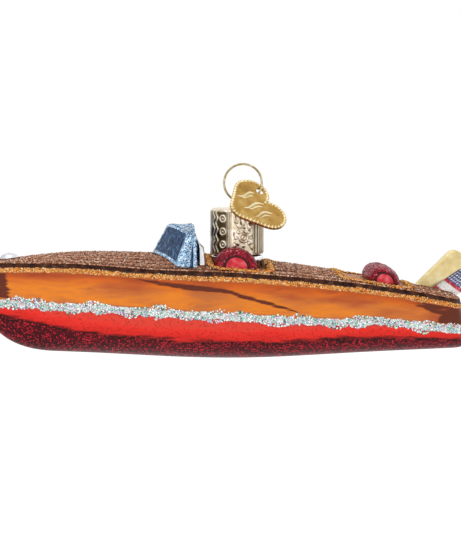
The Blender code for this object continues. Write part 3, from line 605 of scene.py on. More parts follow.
def band_place(arc, v, side_sign, upper, lower):
    """A point on the hull: a length round its edge, then down by v from one line to the other."""
    x = np.interp(arc, plan_arc, plan_x)
    narrowing = np.clip(1 - (arc - plan_arc[-1]) / plan_y[-1], 0, 1)
    z = upper(x) + (lower(x) - upper(x)) * v
    y = side_sign * side(x, np.maximum(z, keel(x))) * narrowing
    return np.stack([raked(x, z), y, z], -1)


def band_flakes(name, upper, lower, count, radius, tilt, ragged, lift, wander):
    """Glitter on both sides of the hull between two lines, with edges that wander."""
    arc = rng.uniform(0, FULL_ARC, count)
    side_sign = rng.choice([-1.0, 1.0], count)
    v = rng.uniform(-ragged, 1 + ragged, count)
    v += (v - 0.5) * 0.5 * np.sin(arc / (4.3 * MM) + side_sign) * np.sin(arc / (1.7 * MM))
    v += wander * (np.sin(arc / (2.9 * MM) + side_sign) + 0.5 * np.sin(arc / (1.1 * MM)))
    x = np.interp(arc, plan_arc, plan_x)
    keep = keel(x) < lower(x) - 0.2 * MM
    arc, v, side_sign = arc[keep], v[keep], side_sign[keep]
    here = band_place(arc, v, side_sign, upper, lower)
    along = band_place(arc + 1e-5, v, side_sign, upper, lower) - here
    down = band_place(arc, v + 1e-3, side_sign, upper, lower) - here
    normal = np.cross(along, down)
    outward = here - np.stack([np.clip(here[:, 0], -0.05, 0.052), 0 * v, here[:, 2]], -1)
    normal *= np.sign(np.einsum("ij,ij->i", normal, outward))[:, None]
    return flakes(name, here, normal, radius, tilt, lift)


# %% Pearl boot stripe and gilt rub band
PEARL = glue("pearl_glitter_in_glue",
             [(0.0, "8CA6A2"), (0.3, "CFE2DA"), (0.55, "F2F6F2"), (0.75, "D6B4B4"), (1.0, "B4CCC8")], 1.6,
             "B8642A", "C02A24")
GILT = glue("gilt_glitter_in_glue", [(0.0, "8A3E12"), (0.4, "C86A22"), (0.7, "E89A48"), (1.0, "F7C88A")],
            2.4, "2E1810", "A8561E")


def bed(name, upper, lower, rows):
    """A slice of the hull with its share attribute: how far down it a point lies."""
    points = slice_points(upper, lower, rows)
    x = points[:, :1, 0]
    down = (upper(x) - points[..., 2]) / (upper(x) - lower(x))
    return skin(name, points, attributes={"share": down})


dress(bed("boot_stripe_bed", stripe_top, stripe_low, 12), PEARL, "boat", "pearl_glitter", "boot_stripe")
dress(bed("rub_band_bed", rub_top, rub_bottom, 8), GILT, "boat", "gilt_glitter", "rub_band")
dress(band_flakes("boot_stripe_glitter", stripe_top, stripe_low, 4200, 0.40 * MM, 0.42, -0.04, 0.0, 0.14),
      PEARL_FOIL, "boat", "pearl_glitter")
dress(band_flakes("rub_band_glitter", rub_top, rub_bottom, 8000, 0.20 * MM, 0.6, -0.16, -0.02 * MM, 0.05),
      GILT_FOIL, "boat", "gilt_glitter")

# %% Dark covering board
BROWN, tree, shader = new_material("dark_brown_paint", 0.6)
shader.inputs["Specular IOR Level"].default_value = 0.06
mottle(tree, shader, 0.6, 4.0, [(0.3, "20100C"), (0.55, "3E241A"), (0.75, "664030")])
covering = skin("dark_covering_board", slice_points(covering_top, rub_top, 6))
dress(covering, BROWN, "boat", "dark_paint", "covering_boards")

# %% [markdown]
# ## Planked deck
# The mould gives the deck rounded planks that follow its edge and draw together at the bow. Rose-brown
# glitter covers their crowns, and the grooves are painted near-black, partly seam paint and partly
# painted shade. The deck is one closed shell whose top is a grid in x and in share of the half beam,
# so each plank is a constant share wide.

# %% Deck shape
PLANKS = 6
BUTT_X = 15.1 * MM            # where two lengths of planking meet, behind the front cockpit
FLOORS = {"front": (-0.0072, 0.0074, 0.0140), "rear": (0.0273, 0.0443, 0.0105)}
SILL = 0.35 * MM


def floor_height(x, x0, x1):
    """The cockpit floor: a plane that slopes with the sheer."""
    middle = 0.5 * (x0 + x1)
    return sheer(middle) + SILL + (sheer(x1) - sheer(x0)) / (x1 - x0) * (x - middle)


def plank_share(x, y):
    """How far across a plank a point lies, from 0 in one groove to 1 in the next."""
    share = np.abs(y) / np.maximum(half_beam(x), 1e-6) * PLANKS + 0.5
    return share - np.floor(share)


def groove(x, y):
    """1 in the middle of a groove and 0 on a plank's crown."""
    f = plank_share(x, y)
    line = np.exp(-(np.minimum(f, 1 - f) / 0.21) ** 2)
    butt = np.exp(-((x - BUTT_X) / (0.28 * MM)) ** 2) * smooth(9.5 * MM, 8.5 * MM, np.abs(y))
    return np.maximum(line, butt)


def crown(x, y):
    """Height of the planked surface before the cockpits are sunk."""
    f = 2 * plank_share(x, y) - 1
    fade = np.clip(half_beam(x) / (6 * MM), 0, 1)
    edge_fade = smooth(1.0, 0.96, np.abs(y) / half_beam(x))
    return deck_top(x, y) - fade * (0.20 * MM * f ** 2 + 0.40 * MM * groove(x, y)) * edge_fade


def sunk(x, y, blur=0.30 * MM):
    """1 inside a cockpit, 0 outside, with a short slope between."""
    inside = np.zeros(np.broadcast(x, y).shape)
    for x0, x1, half in FLOORS.values():
        reach = np.minimum(np.minimum(x - x0, x1 - x), half - np.abs(y))
        inside = np.maximum(inside, smooth(-blur, blur, reach))
    return inside


def deck_surface(x, y):
    """The finished deck: planks, with the two cockpits let in."""
    low = np.where(x < 20 * MM, floor_height(x, *FLOORS["front"][:2]), floor_height(x, *FLOORS["rear"][:2]))
    return crown(x, y) + (np.minimum(low, crown(x, y)) - crown(x, y)) * sunk(x, y)


steps = [STEM_X + HULL_LENGTH * (0.5 - 0.5 * np.cos(np.pi * np.linspace(0.004, 1, 190)))]
for edge in (*FLOORS["front"][:2], *FLOORS["rear"][:2], BUTT_X):
    steps.append(edge + np.linspace(-0.6, 0.6, 13) * MM)
deck_x = np.unique(np.round(np.concatenate(steps), 6))
deck_v = np.sin(np.linspace(-0.5, 0.5, 171) * np.pi)
deck_v = 0.35 * deck_v + 0.65 * np.linspace(-1, 1, 171)
gx, gv = np.meshgrid(deck_x, deck_v, indexing="ij")
gy = gv * half_beam(gx)
gz = deck_surface(gx, gy)
top_rows = np.stack([raked(gx, gz), gy, gz], -1)
under = np.linspace(1, -1, 7)[None, :] * half_beam(deck_x)[:, None]
under_z = np.repeat((sheer(deck_x) - EDGE)[:, None], 7, 1)
under_rows = np.stack([raked(deck_x[:, None] + 0 * under, under_z), under, under_z], -1)
deck_values = np.concatenate([groove(gx, gy), np.zeros(under.shape)], 1)
well_values = np.concatenate([sunk(gx, gy), np.zeros(under.shape)], 1)
edge_values = np.concatenate([np.abs(gv), np.ones(under.shape)], 1)
deck = skin("planked_deck", np.concatenate([top_rows, under_rows], 1),
            attributes={"groove": deck_values, "sunk": well_values, "out": edge_values})

# %% Deck paint
DECK, tree, shader = new_material("rose_brown_glitter_paint", 0.5, 0.1)
shader.inputs["Specular IOR Level"].default_value = 0.2
line = add(tree, "ShaderNodeAttribute", attribute_name="groove")
well = add(tree, "ShaderNodeAttribute", attribute_name="sunk")
cells = add(tree, "ShaderNodeTexVoronoi", {"Vector": place(tree), "Scale": 3.2})
grain = add(tree, "ShaderNodeSeparateColor", {"Color": cells.outputs["Color"]})
rose = add(tree, "ShaderNodeValToRGB", {"Fac": grain.outputs["Red"]},
           [(0.0, "4E2A1C"), (0.3, "86502F"), (0.6, "B47A56"), (0.85, "DFAF8C"), (1.0, "FFEEDE")])
long_tone = add(tree, "ShaderNodeTexNoise",
                {"Vector": place(tree, (0.08, 0.5, 0.5)), "Scale": 1.0, "Detail": 3.0})
shade = add(tree, "ShaderNodeValToRGB", {"Fac": long_tone.outputs["Fac"]}, [(0.3, "C89A84"), (0.7, "FFFFFF")])
toned = add(tree, "ShaderNodeMix", {0: 0.7, 6: rose.outputs["Color"], 7: shade.outputs["Color"]},
            data_type="RGBA", blend_type="MULTIPLY")
plain = add(tree, "ShaderNodeValToRGB", {"Fac": grain.outputs["Green"]},
            [(0.0, "6A2E10"), (0.35, "B4561C"), (0.7, "E08A3C"), (1.0, "FFC878")])
floored = add(tree, "ShaderNodeMix",
              {0: well.outputs["Fac"], 6: toned.outputs[2], 7: plain.outputs["Color"]}, data_type="RGBA")
# the grooves and the butt seam in near-black brown: dark seam paint and painted shade
seams_and_groove_shade = add(tree, "ShaderNodeMix", {0: line.outputs["Fac"], 6: floored.outputs[2], 7: linear("24120C")},
              data_type="RGBA")
tree.links.new(seams_and_groove_shade.outputs[2], shader.inputs["Base Color"])
bump = add(tree, "ShaderNodeBump", {"Height": cells.outputs["Distance"], "Distance": 0.10 * MM})
tree.links.new(bump.outputs["Normal"], shader.inputs["Normal"])
dress(deck, DECK, "boat", "deck_paint", "deck")

# %% Deck glitter
DECK_FLAKES = 22000
fx = rng.uniform(STEM_X + 1.5 * MM, STERN_X - 0.6 * MM, DECK_FLAKES)
fv = rng.uniform(-0.97, 0.97, DECK_FLAKES)
fy = fv * half_beam(fx)
share_of_beam = half_beam(fx) / (0.5 * BEAM)
accept = (rng.random(DECK_FLAKES) < share_of_beam) & (groove(fx, fy) < 0.16) & (sunk(fx, fy) < 0.1)
fx, fy = fx[accept], fy[accept]
fz = deck_surface(fx, fy)
tiny = 1e-5
slope_x = (deck_surface(fx + tiny, fy) - fz) / tiny
slope_y = (deck_surface(fx, fy + tiny) - fz) / tiny
deck_normals = np.stack([-slope_x, -slope_y, np.ones_like(fx)], -1)
dress(flakes("deck_glitter", np.stack([raked(fx, fz), fy, fz], -1), deck_normals, 0.17 * MM, 0.6, 0.02 * MM),
      COPPER_FOIL, "boat", "deck_paint")

# %% [markdown]
# ## Coamings
# Orange glitter was drawn round each cockpit with a glue pen. Each bead is a low half-round ring that
# follows a rectangle with round corners over the crowned deck.

# %% Beads round the cockpits


def round_rectangle(x0, x1, half, corner, count):
    """Plan of a rectangle with round corners, evenly walked, with the outward direction."""
    arcs = []
    for k, (sx, sy) in enumerate(((1, 1), (-1, 1), (-1, -1), (1, -1))):
        a = np.linspace(0, 0.5 * np.pi, 12) + k * 0.5 * np.pi
        cx = (x1 - corner) if sx > 0 else (x0 + corner)
        cy = sy * (half - corner)
        arcs.append(np.stack([cx + corner * np.cos(a), cy + corner * np.sin(a)], 1))
    loop = np.concatenate(arcs + [arcs[0][:1]])
    length = np.concatenate([[0], np.cumsum(np.linalg.norm(np.diff(loop, axis=0), axis=1))])
    at = np.linspace(0, length[-1], count, endpoint=False)
    walk = np.stack([np.interp(at, length, loop[:, c]) for c in (0, 1)], 1)
    ahead = np.roll(walk, -1, axis=0) - np.roll(walk, 1, axis=0)
    ahead /= np.linalg.norm(ahead, axis=1, keepdims=True)
    return walk, np.stack([ahead[:, 1], -ahead[:, 0]], 1)


def bead(name, x0, x1, half):
    """A half-round bead of glue, 1.1 mm wide and 0.3 mm high, and the glitter on it."""
    walk, outward = round_rectangle(x0 - 0.85 * MM, x1 + 0.85 * MM, half + 0.85 * MM, 3.0 * MM, 220)
    turn = np.linspace(0, 2 * np.pi, 16, endpoint=False)
    off = 0.55 * MM * np.cos(turn)
    xy = walk[:, None] + off[None, :, None] * outward[:, None]
    lift = 0.08 * MM + 0.20 * MM * np.clip(np.sin(turn), -0.4, 1)
    z = deck_top(xy[..., 0], xy[..., 1]) + lift[None]
    rows = np.concatenate([xy, z[..., None]], -1)
    ring = skin(name, np.concatenate([rows, rows[:1]]), ends=False)
    count = 1900
    k = rng.integers(0, len(walk), count)
    spread = rng.normal(0, 0.62 * MM, count)
    at = walk[k] + spread[:, None] * outward[k] + rng.normal(0, 0.2 * MM, (count, 2))
    high = np.sqrt(np.clip(1 - (spread / (0.7 * MM)) ** 2, 0, 1)) * 0.20 * MM
    at_z = deck_top(at[:, 0], at[:, 1]) + 0.04 * MM + high
    up_and_out = np.column_stack([outward[k] * (spread / (0.7 * MM))[:, None], np.ones(count)])
    specks = flakes(name + "_glitter", np.column_stack([at, at_z]), up_and_out, 0.22 * MM, 0.5)
    return ring, specks


ORANGE = glue("orange_glitter_in_glue",
              [(0.0, "8A4418"), (0.4, "C86A28"), (0.75, "EE9C4C"), (1.0, "FFD494")], 3.2)
for place_name, (x0, x1, half) in FLOORS.items():
    ring, specks = bead(place_name + "_cockpit_bead", x0, x1, half)
    dress(ring, ORANGE, "boat", "gilt_glitter", place_name + "_coaming")
    dress(specks, GILT_FOIL, "boat", "gilt_glitter")

# %% [markdown]
# ## Windscreen
# The windscreen is not a pane but a solid lump in the mould, pointed ahead in plan and leaning back.
# The panes are navy lacquer with upright brush marks, and icy glitter outlines them. Rings of one
# rounded five-sided plan, shrinking as they rise, give the sides, and a few more close the top.

# %% Windscreen rings
EDGE_POINTS, ARC_POINTS = 22, 6


def five_sides(level):
    """The five plan corners at each level from 0 at the deck to 1 at the top."""
    level = np.asarray(level, float)[:, None]
    one = np.ones_like(level)
    nose = np.concatenate([-22.5 + 4.0 * level, 0 * one], 1)
    half = 15.3 - 3.3 * level
    front = -16.8 + 3.5 * level
    back = -11.5 * one
    rows = [nose, np.concatenate([front, -half], 1), np.concatenate([back, -half], 1),
            np.concatenate([back, half], 1), np.concatenate([front, half], 1)]
    return np.stack(rows, 1) * MM


def rounded_plan(corners, radius):
    """Walk each edge and round each corner with a parabola through its two cut points."""
    before = np.roll(corners, 1, axis=1) - corners
    after = np.roll(corners, -1, axis=1) - corners
    cut_a = corners + radius * before / np.linalg.norm(before, axis=2, keepdims=True)
    cut_b = corners + radius * after / np.linalg.norm(after, axis=2, keepdims=True)
    t = np.linspace(0, 1, ARC_POINTS)[None, None, :, None]
    arc = (1 - t) ** 2 * cut_a[:, :, None] + 2 * t * (1 - t) * corners[:, :, None] + t * t * cut_b[:, :, None]
    s = np.linspace(0, 1, EDGE_POINTS + 2)[1:-1][None, None, :, None]
    edge = cut_b[:, :, None] + s * (np.roll(cut_a, -1, axis=1) - cut_b)[:, :, None]
    return np.concatenate([arc, edge], 2).reshape(len(corners), -1, 2)


side_levels = np.linspace(0, 0.93, 26)
turn = np.linspace(0, 0.5 * np.pi, 7)[1:]
round_levels = 0.93 + 0.07 * np.sin(turn)
round_inset = 0.55 * MM * (1 - np.cos(turn))
levels = np.concatenate([side_levels, round_levels, np.ones(9)])
shrink = np.concatenate([np.zeros(26), round_inset, np.full(9, round_inset[-1])])
plan = rounded_plan(five_sides(levels), 0.9 * MM)
hub = np.array([-15.2 * MM, 0.0])
toward = hub - plan
plan = plan + toward / np.linalg.norm(toward, axis=2, keepdims=True) * shrink[:, None, None]
gather = np.concatenate([np.zeros(32), np.linspace(0.1, 0.985, 9)])[:, None, None]
plan = plan + gather * (hub - plan)
wx, wy = plan[..., 0], plan[..., 1]

# %% Windscreen heights
foot_z = deck_top(wx, np.minimum(np.abs(wy), half_beam(wx))) + 0.1 * MM
ridge_z = deck_top(-22.5 * MM, 0.0) + (7.5 + 0.03 * (wx / MM + 18.5)) * MM
corner_z = deck_top(-16.8 * MM, 0.0) + (5.8 - 0.30 * (wx / MM + 13.3)) * MM
off_ridge = np.clip(np.abs(wy) / (12.0 * MM), 0, 1)
head_z = ridge_z + (corner_z - ridge_z) * (off_ridge ** 2 / (off_ridge + 0.12) * 1.12)
wz = foot_z + (head_z - foot_z) * levels[:, None]

# %% Where the windscreen is frosted
POINTS_PER_SIDE = ARC_POINTS + EDGE_POINTS
column = np.arange(5 * POINTS_PER_SIDE)
along_side = ((column % POINTS_PER_SIDE) - ARC_POINTS / 2) / POINTS_PER_SIDE
side_number = column // POINTS_PER_SIDE
near_corner = np.minimum(along_side, 1 - along_side)
side_face = (side_number == 1) | (side_number == 3)
forward = np.where(side_number == 1, along_side, 1 - along_side)
back_strip = smooth(0.58, 0.68, forward)[None] * smooth(0.70, 0.60, levels)[:, None]
corner_frost = np.where(side_face[None], 1 - back_strip, smooth(0.07, 0.02, near_corner)[None])
foot_frost = smooth(0.11, 0.06, levels)[:, None] * np.where(side_face, 0, 1)[None]
head_frost = smooth(0.92, 0.97, levels)[:, None]
frost = np.maximum(np.maximum(corner_frost, foot_frost), head_frost)
top_face = np.repeat((levels >= 1.0)[:, None], len(column), 1)
frost = np.where(top_face, 0.52, frost)
screen = skin("windscreen_lump", np.stack([wx, wy, wz], -1), attributes={"frost": frost})

# %% Navy lacquer with icy edges
NAVY, tree, shader = new_material("navy_lacquer_with_ice_blue_glitter", 0.4, 0.1, coat=0.06)
shader.inputs["Specular IOR Level"].default_value = 0.12
ice = add(tree, "ShaderNodeAttribute", attribute_name="frost")
brush = add(tree, "ShaderNodeTexNoise",
            {"Vector": place(tree, (1.8, 1.8, 0.12)), "Scale": 1.0, "Detail": 4.0})
navy = add(tree, "ShaderNodeValToRGB", {"Fac": brush.outputs["Fac"]},
           [(0.3, "0C1626"), (0.46, "1A2E4C"), (0.58, "2C4E76"), (0.72, "6490B4")])
cells = add(tree, "ShaderNodeTexVoronoi", {"Vector": place(tree), "Scale": 3.0})
grain = add(tree, "ShaderNodeSeparateColor", {"Color": cells.outputs["Color"]})
icy = add(tree, "ShaderNodeValToRGB", {"Fac": grain.outputs["Red"]},
          [(0.0, "3E6FA4"), (0.35, "7DAAD2"), (0.7, "C4E0F2"), (1.0, "FFFFFF")])
rough_edge = add(tree, "ShaderNodeMath", {0: grain.outputs["Green"], 1: 0.5, 2: -0.25},
                 operation="MULTIPLY_ADD")
reach = add(tree, "ShaderNodeMath", {0: ice.outputs["Fac"], 1: rough_edge.outputs["Value"]}, operation="ADD")
mask = add(tree, "ShaderNodeMapRange", {"Value": reach.outputs["Value"], "From Min": 0.35, "From Max": 0.65})
frosted = add(tree, "ShaderNodeMix",
              {0: mask.outputs["Result"], 6: navy.outputs["Color"], 7: icy.outputs["Color"]},
              data_type="RGBA")
tree.links.new(frosted.outputs[2], shader.inputs["Base Color"])
bump = add(tree, "ShaderNodeBump", {"Height": brush.outputs["Fac"], "Distance": 0.12 * MM})
tree.links.new(bump.outputs["Normal"], shader.inputs["Normal"])
dress(screen, NAVY, "boat", "blue_lacquer", "windscreen")

# %% Ice blue glitter on its edges
TRIES, ICE_FLAKES = 16000, 2600
rows_at = rng.integers(0, 34, TRIES)
cols_at = rng.integers(0, len(column), TRIES)
chosen = rng.random(TRIES) < (frost[rows_at, cols_at] > 0.5) * np.where(rows_at > 30, 0.9, 0.35)
rows_at, cols_at = rows_at[chosen][:ICE_FLAKES], cols_at[chosen][:ICE_FLAKES]
grid = np.stack([wx, wy, wz], -1)
here = grid[rows_at, cols_at]
next_row = grid[np.minimum(rows_at + 1, len(grid) - 1), cols_at] - here
next_col = grid[rows_at, (cols_at + 1) % len(column)] - here
normal = np.cross(next_col, next_row)
normal *= np.sign(np.einsum("ij,ij->i", normal, here - np.array([hub[0], 0.0, 4 * MM])))[:, None]
jitter = rng.uniform(0, 1, (len(here), 1)) * next_row + rng.uniform(0, 1, (len(here), 1)) * next_col
dress(flakes("windscreen_glitter", here + jitter, normal + 1e-12, 0.20 * MM, 0.4),
      BLUE_FOIL, "boat", "blue_lacquer")

# %% [markdown]
# ## Silvered dashboard, bow light and neck
# Bare silvered glass shows in three places: the dashboard behind the windscreen, the little light at
# the bow and the neck under the cap. Bare silver is the brightest mirror on the boat, a little wavy
# because it was blown.

# %% Silver
SILVER, tree, shader = new_material("bare_silvered_glass", 0.12, 0.95, "E4E6EA", coat=0.5)
waves = mottle(tree, shader, 0.35, 2.0, [(0.3, "C2C4CA"), (0.6, "ECEEF2"), (0.8, "FFFFFF")])
bump = add(tree, "ShaderNodeBump", {"Height": waves.outputs["Fac"], "Distance": 0.5 * MM})
tree.links.new(bump.outputs["Normal"], shader.inputs["Normal"])


def slab(name, x_fore, x_aft, half, height, aft_drop, taper, base):
    """A rounded slab: superellipse plans that shrink to a soft ridge."""
    t = np.concatenate([np.linspace(0, 0.8, 14), 0.8 + 0.2 * np.sin(np.linspace(0, 0.5 * np.pi, 9)[1:])])
    squeeze = np.concatenate([np.ones(14), np.cos(np.linspace(0, 0.5 * np.pi, 9)[1:]) ** 0.7 * 0.98 + 0.02])
    a = np.linspace(0, 2 * np.pi, 72, endpoint=False)
    ca = np.sign(np.cos(a)) * np.abs(np.cos(a)) ** 0.45
    sa = np.sign(np.sin(a)) * np.abs(np.sin(a)) ** 0.3
    mid, thick = 0.5 * (x_fore + x_aft), 0.5 * (x_aft - x_fore)
    x = mid + thick * (1 - 0.25 * t[:, None]) * squeeze[:, None] ** 0.8 * ca[None] - 0.15 * thick * t[:, None]
    y = half * (1 - taper * t[:, None]) * (0.25 + 0.75 * squeeze[:, None]) * sa[None]
    foot = deck_top(x, y) + base
    z = foot + (deck_top(mid, 0.0) + height - foot) * t[:,
                                                        None] - aft_drop * t[:, None] * (0.5 + 0.5 * ca[None])
    return skin(name, np.stack([x, y, z], -1))


dash = slab("silvered_dashboard", -11.2 * MM, -9.0 * MM, 13.8 * MM, 4.5 * MM, 1.2 * MM, 0.14, 0.15 * MM)
dress(dash, SILVER, "boat", "silvered_glass", "dashboard")

# %% Bow light, a flat dome
a = np.linspace(0, 2 * np.pi, 48, endpoint=False)[None]
e = np.linspace(0.0, 0.5 * np.pi, 18)[:, None]
lx = -60.0 * MM + 2.7 * MM * np.cos(e) * np.cos(a)
ly = 1.7 * MM * np.cos(e) * np.sin(a)
lz = deck_top(lx, ly) + 0.1 * MM + 1.35 * MM * np.sin(e) * (1 - 0.12 * np.cos(a))
dress(skin("bow_light_dome", np.stack([lx, ly, lz], -1)), SILVER, "boat", "silvered_glass", "bow_light")

# %% Neck, a turned profile

def turned(name, profile, sides, centre=(0.0, 0.0), attributes=None):
    """A profile of (radius, height) points turned once round an upright axis."""
    profile = np.array(profile)
    a = np.linspace(0, 2 * np.pi, sides, endpoint=False)
    r, z = profile[:, :1], profile[:, 1:]
    points = np.stack([centre[0] + r * np.cos(a), centre[1] + r * np.sin(a), z + 0 * a], -1)
    return skin(name, points, attributes=attributes)


CROWN = deck_top(0.0, 0.0)
COLLAR = CROWN + 0.7 * MM
FLOOR_Z = floor_height(0.0, *FLOORS["front"][:2])
MOUTH = FLOOR_Z + 13.0 * MM
BORE_FLOOR = FLOOR_Z + 3.0 * MM
low, high, collar = BORE_FLOOR / MM, MOUTH / MM, COLLAR / MM
neck_profile = [(0.02, low), (4.5, low), (4.9, low + 0.3), (4.9, high - 0.3), (5.0, high - 0.08), (5.3, high),
                (5.7, high - 0.05), (5.9, high - 0.3), (5.9, collar + 0.3), (6.1, collar + 0.05),
                (6.5, collar), (6.8, collar - 0.15), (6.9, collar - 0.5), (6.9, FLOOR_Z / MM - 0.5),
                (0.02, FLOOR_Z / MM - 0.5)]
neck = turned("glass_neck", np.array(neck_profile) * MM, 96)
dress(neck, SILVER, "boat", "silvered_glass", "neck")

# %% [markdown]
# ## Seats
# Each seat is a bolster across the boat with a flat face at its end. The curved part is crimson
# glitter, and the end face is painted a smooth, pinker red as a painted reflection, with a dark
# outline. D-shaped rings are carried along the bolster and shrink towards its ends, and the last
# rings close the flat face.

# %% Bolsters


def bolster(name, x, y_in, y_out, base, half_x, rise, both_ends):
    """D-shaped rings along y. b is the place along the bolster and e the size of its ring."""
    ends = np.sin(np.linspace(0, 0.5 * np.pi, 26))
    outer_b = ends * 0.985
    outer_e = (1 - outer_b ** 4.0) ** 0.5 * 0.46 + 0.54
    face_b = np.concatenate([[0.975, 0.972, 0.985], np.full(7, 0.99)])
    face_e = np.concatenate([[0.555, 0.52, 0.50], np.linspace(0.48, 0.01, 7)])
    b_out = np.concatenate([outer_b, face_b])
    e_out = np.concatenate([outer_e, face_e])
    face_out = np.concatenate([np.zeros(27), [0.5], np.ones(8)])
    line_out = np.concatenate([np.zeros(25), [0.6, 1.0, 1.0, 0.3], np.zeros(7)])
    if both_ends:
        b_in, e_in, face_in, line_in = -b_out[::-1], e_out[::-1], face_out[::-1], line_out[::-1]
    else:
        b_in = np.concatenate([[-1.0, -1.0, -0.99], -ends[::-1][2:-1] * 0.96])
        e_in = np.concatenate([[0.01, 0.6, 0.86], np.full(23, 1.0)])
        e_in[3:8] = np.linspace(0.93, 1.0, 5)
        face_in, line_in = np.zeros(26), np.zeros(26)
    b, e = np.concatenate([b_in, b_out]), np.concatenate([e_in, e_out])
    face, dark = np.concatenate([face_in, face_out]), np.concatenate([line_in, line_out])
    a = np.linspace(0, np.pi, 40)
    ring_x = np.concatenate([np.cos(a), np.linspace(-1, 1, 14)[1:-1]])
    ring_z = np.concatenate([np.sin(a) ** 0.85, np.zeros(12)])
    middle, half_y = 0.5 * (y_in + y_out), 0.5 * (y_out - y_in)
    px_ = x + half_x * e[:, None] * ring_x[None]
    py_ = middle + half_y * b[:, None] + 0 * ring_x[None]
    pz_ = base(px_) + rise * e[:, None] ** 0.8 * ring_z[None]
    wide = np.repeat(face[:, None], len(ring_x), 1)
    outline = np.repeat(dark[:, None], len(ring_x), 1)
    seat = skin(name, np.stack([px_, py_, pz_], -1), attributes={"face": wide, "outline": outline})
    return seat, (px_, py_, pz_, face)


# %% Crimson glitter, and pink as a painted reflection on the end face
CRIMSON, tree, shader = new_material("crimson_glitter_and_painted_reflection", 0.35, 0.1, coat=0.15)
shader.inputs["Specular IOR Level"].default_value = 0.15
face = add(tree, "ShaderNodeAttribute", attribute_name="face")
outline = add(tree, "ShaderNodeAttribute", attribute_name="outline")
cells = add(tree, "ShaderNodeTexVoronoi", {"Vector": place(tree), "Scale": 2.4})
grain = add(tree, "ShaderNodeSeparateColor", {"Color": cells.outputs["Color"]})
glitter = add(tree, "ShaderNodeValToRGB", {"Fac": grain.outputs["Red"]},
              [(0.0, "3A0610"), (0.45, "7A1020"), (0.75, "980F24"), (0.94, "C02A44"), (1.0, "F0A0B0")])
soft = add(tree, "ShaderNodeTexNoise", {"Vector": place(tree, (0.5, 0.5, 0.5)), "Scale": 1.0, "Detail": 2.0})
# the end face's painted reflection, a smooth pinker red
face_reflection = add(tree, "ShaderNodeValToRGB", {"Fac": soft.outputs["Fac"]},
              [(0.3, "A02430"), (0.5, "CE2C3A"), (0.7, "DC6A70")])
mixed = add(tree, "ShaderNodeMix",
            {0: face.outputs["Fac"], 6: glitter.outputs["Color"], 7: face_reflection.outputs["Color"]},
            data_type="RGBA")
outlined = add(tree, "ShaderNodeMix", {0: outline.outputs["Fac"], 6: mixed.outputs[2], 7: linear("3A070C")},
               data_type="RGBA")
tree.links.new(outlined.outputs[2], shader.inputs["Base Color"])
away = add(tree, "ShaderNodeMath", {0: 1.0, 1: face.outputs["Fac"]}, operation="SUBTRACT")
bump = add(tree, "ShaderNodeBump", {"Height": cells.outputs["Distance"], "Distance": 0.14 * MM,
                                    "Strength": away.outputs["Value"]})
tree.links.new(bump.outputs["Normal"], shader.inputs["Normal"])

# %% The three seats


def seat_glitter(name, grids, count):
    """Crimson foil on the curved part of a bolster."""
    gx_, gy_, gz_, face_ = grids
    pts = np.stack([gx_, gy_, gz_], -1)
    rows = np.flatnonzero(face_ < 0.1)
    r = rng.choice(rows[1:-1], count)
    c = rng.integers(1, 38, count)
    here_ = pts[r, c] + rng.random((count, 1)) * (pts[r + 1, c] - pts[r, c])
    here_ = here_ + rng.random((count, 1)) * (pts[r, c + 1] - pts[r, c])
    n = here_ - np.array([gx_.mean(), gy_.mean(), gz_.min() - 1 * MM])
    n[:, 1] *= 0.3
    return flakes(name, here_, n, 0.17 * MM, 0.4)


def front_floor(x):
    """Where the front seats stand: just above the front cockpit's floor."""
    return floor_height(x, *FLOORS["front"][:2]) + 0.15 * MM


def rear_floor(x):
    """Where the rear seat stands: just above the rear cockpit's floor."""
    return floor_height(x, *FLOORS["rear"][:2]) + 0.15 * MM


for side_name, sign in (("port", -1), ("starboard", 1)):
    seat, grids = bolster("front_bolster_" + side_name, -1.1 * MM, sign * 7.65 * MM, sign * 13.6 * MM,
                          front_floor, 5.6 * MM, 5.3 * MM, False)
    dress(seat, CRIMSON, "boat", "crimson_glitter", "front_seat_" + side_name)
    dress(seat_glitter("front_bolster_glitter_" + side_name, grids, 420),
          CRIMSON_FOIL, "boat", "crimson_glitter")
seat, grids = bolster("rear_bolster", 38.3 * MM, -9.8 * MM, 9.8 * MM, rear_floor, 4.4 * MM, 4.3 * MM, True)
dress(seat, CRIMSON, "boat", "crimson_glitter", "rear_seat")
dress(seat_glitter("rear_bolster_glitter", grids, 1300), CRIMSON_FOIL, "boat", "crimson_glitter")

# %% [markdown]
# ## Flag and staff
# The staff is a stout round-edged bar of glass lacquered gold. The flag is moulded with it as a thick
# waving panel, striped in red on white glitter with a blue corner of white dots.

# %% Staff
ANGLE = math.radians(39)
ALONG = np.array([math.cos(ANGLE), math.sin(ANGLE)])
SQUARE = np.array([math.sin(ANGLE), -math.cos(ANGLE)])
FOOT = np.array([47.9 * MM, deck_top(47.9 * MM, 0.0) - 1.7 * MM])
FOOT_WIDE, HEAD_WIDE, STAFF_THICK, STAFF_LONG = 3.3 * MM, 5.6 * MM, 3.2 * MM, 12.85 * MM
a = np.linspace(0, 2 * np.pi, 64, endpoint=False)
section = np.stack([np.sign(wave) * np.abs(wave) ** 0.4 for wave in (np.cos(a), np.sin(a))], 1)
over = np.linspace(0, 0.5 * np.pi, 20)[1:]
run = np.concatenate([np.linspace(0.0, STAFF_LONG, 50), STAFF_LONG + 0.5 * HEAD_WIDE * np.sin(over)])
wide = np.concatenate([np.linspace(FOOT_WIDE, HEAD_WIDE, 50), HEAD_WIDE * (np.cos(over) * 0.99 + 0.01)])
flat = np.concatenate([np.full(50, 1.0), np.cos(over) ** 0.4 * 0.9 + 0.1])
sq = section[None, :, 0] * 0.5 * wide[:, None]
dy = section[None, :, 1] * 0.5 * STAFF_THICK * flat[:, None]
sx = FOOT[0] + ALONG[0] * run[:, None] + SQUARE[0] * sq
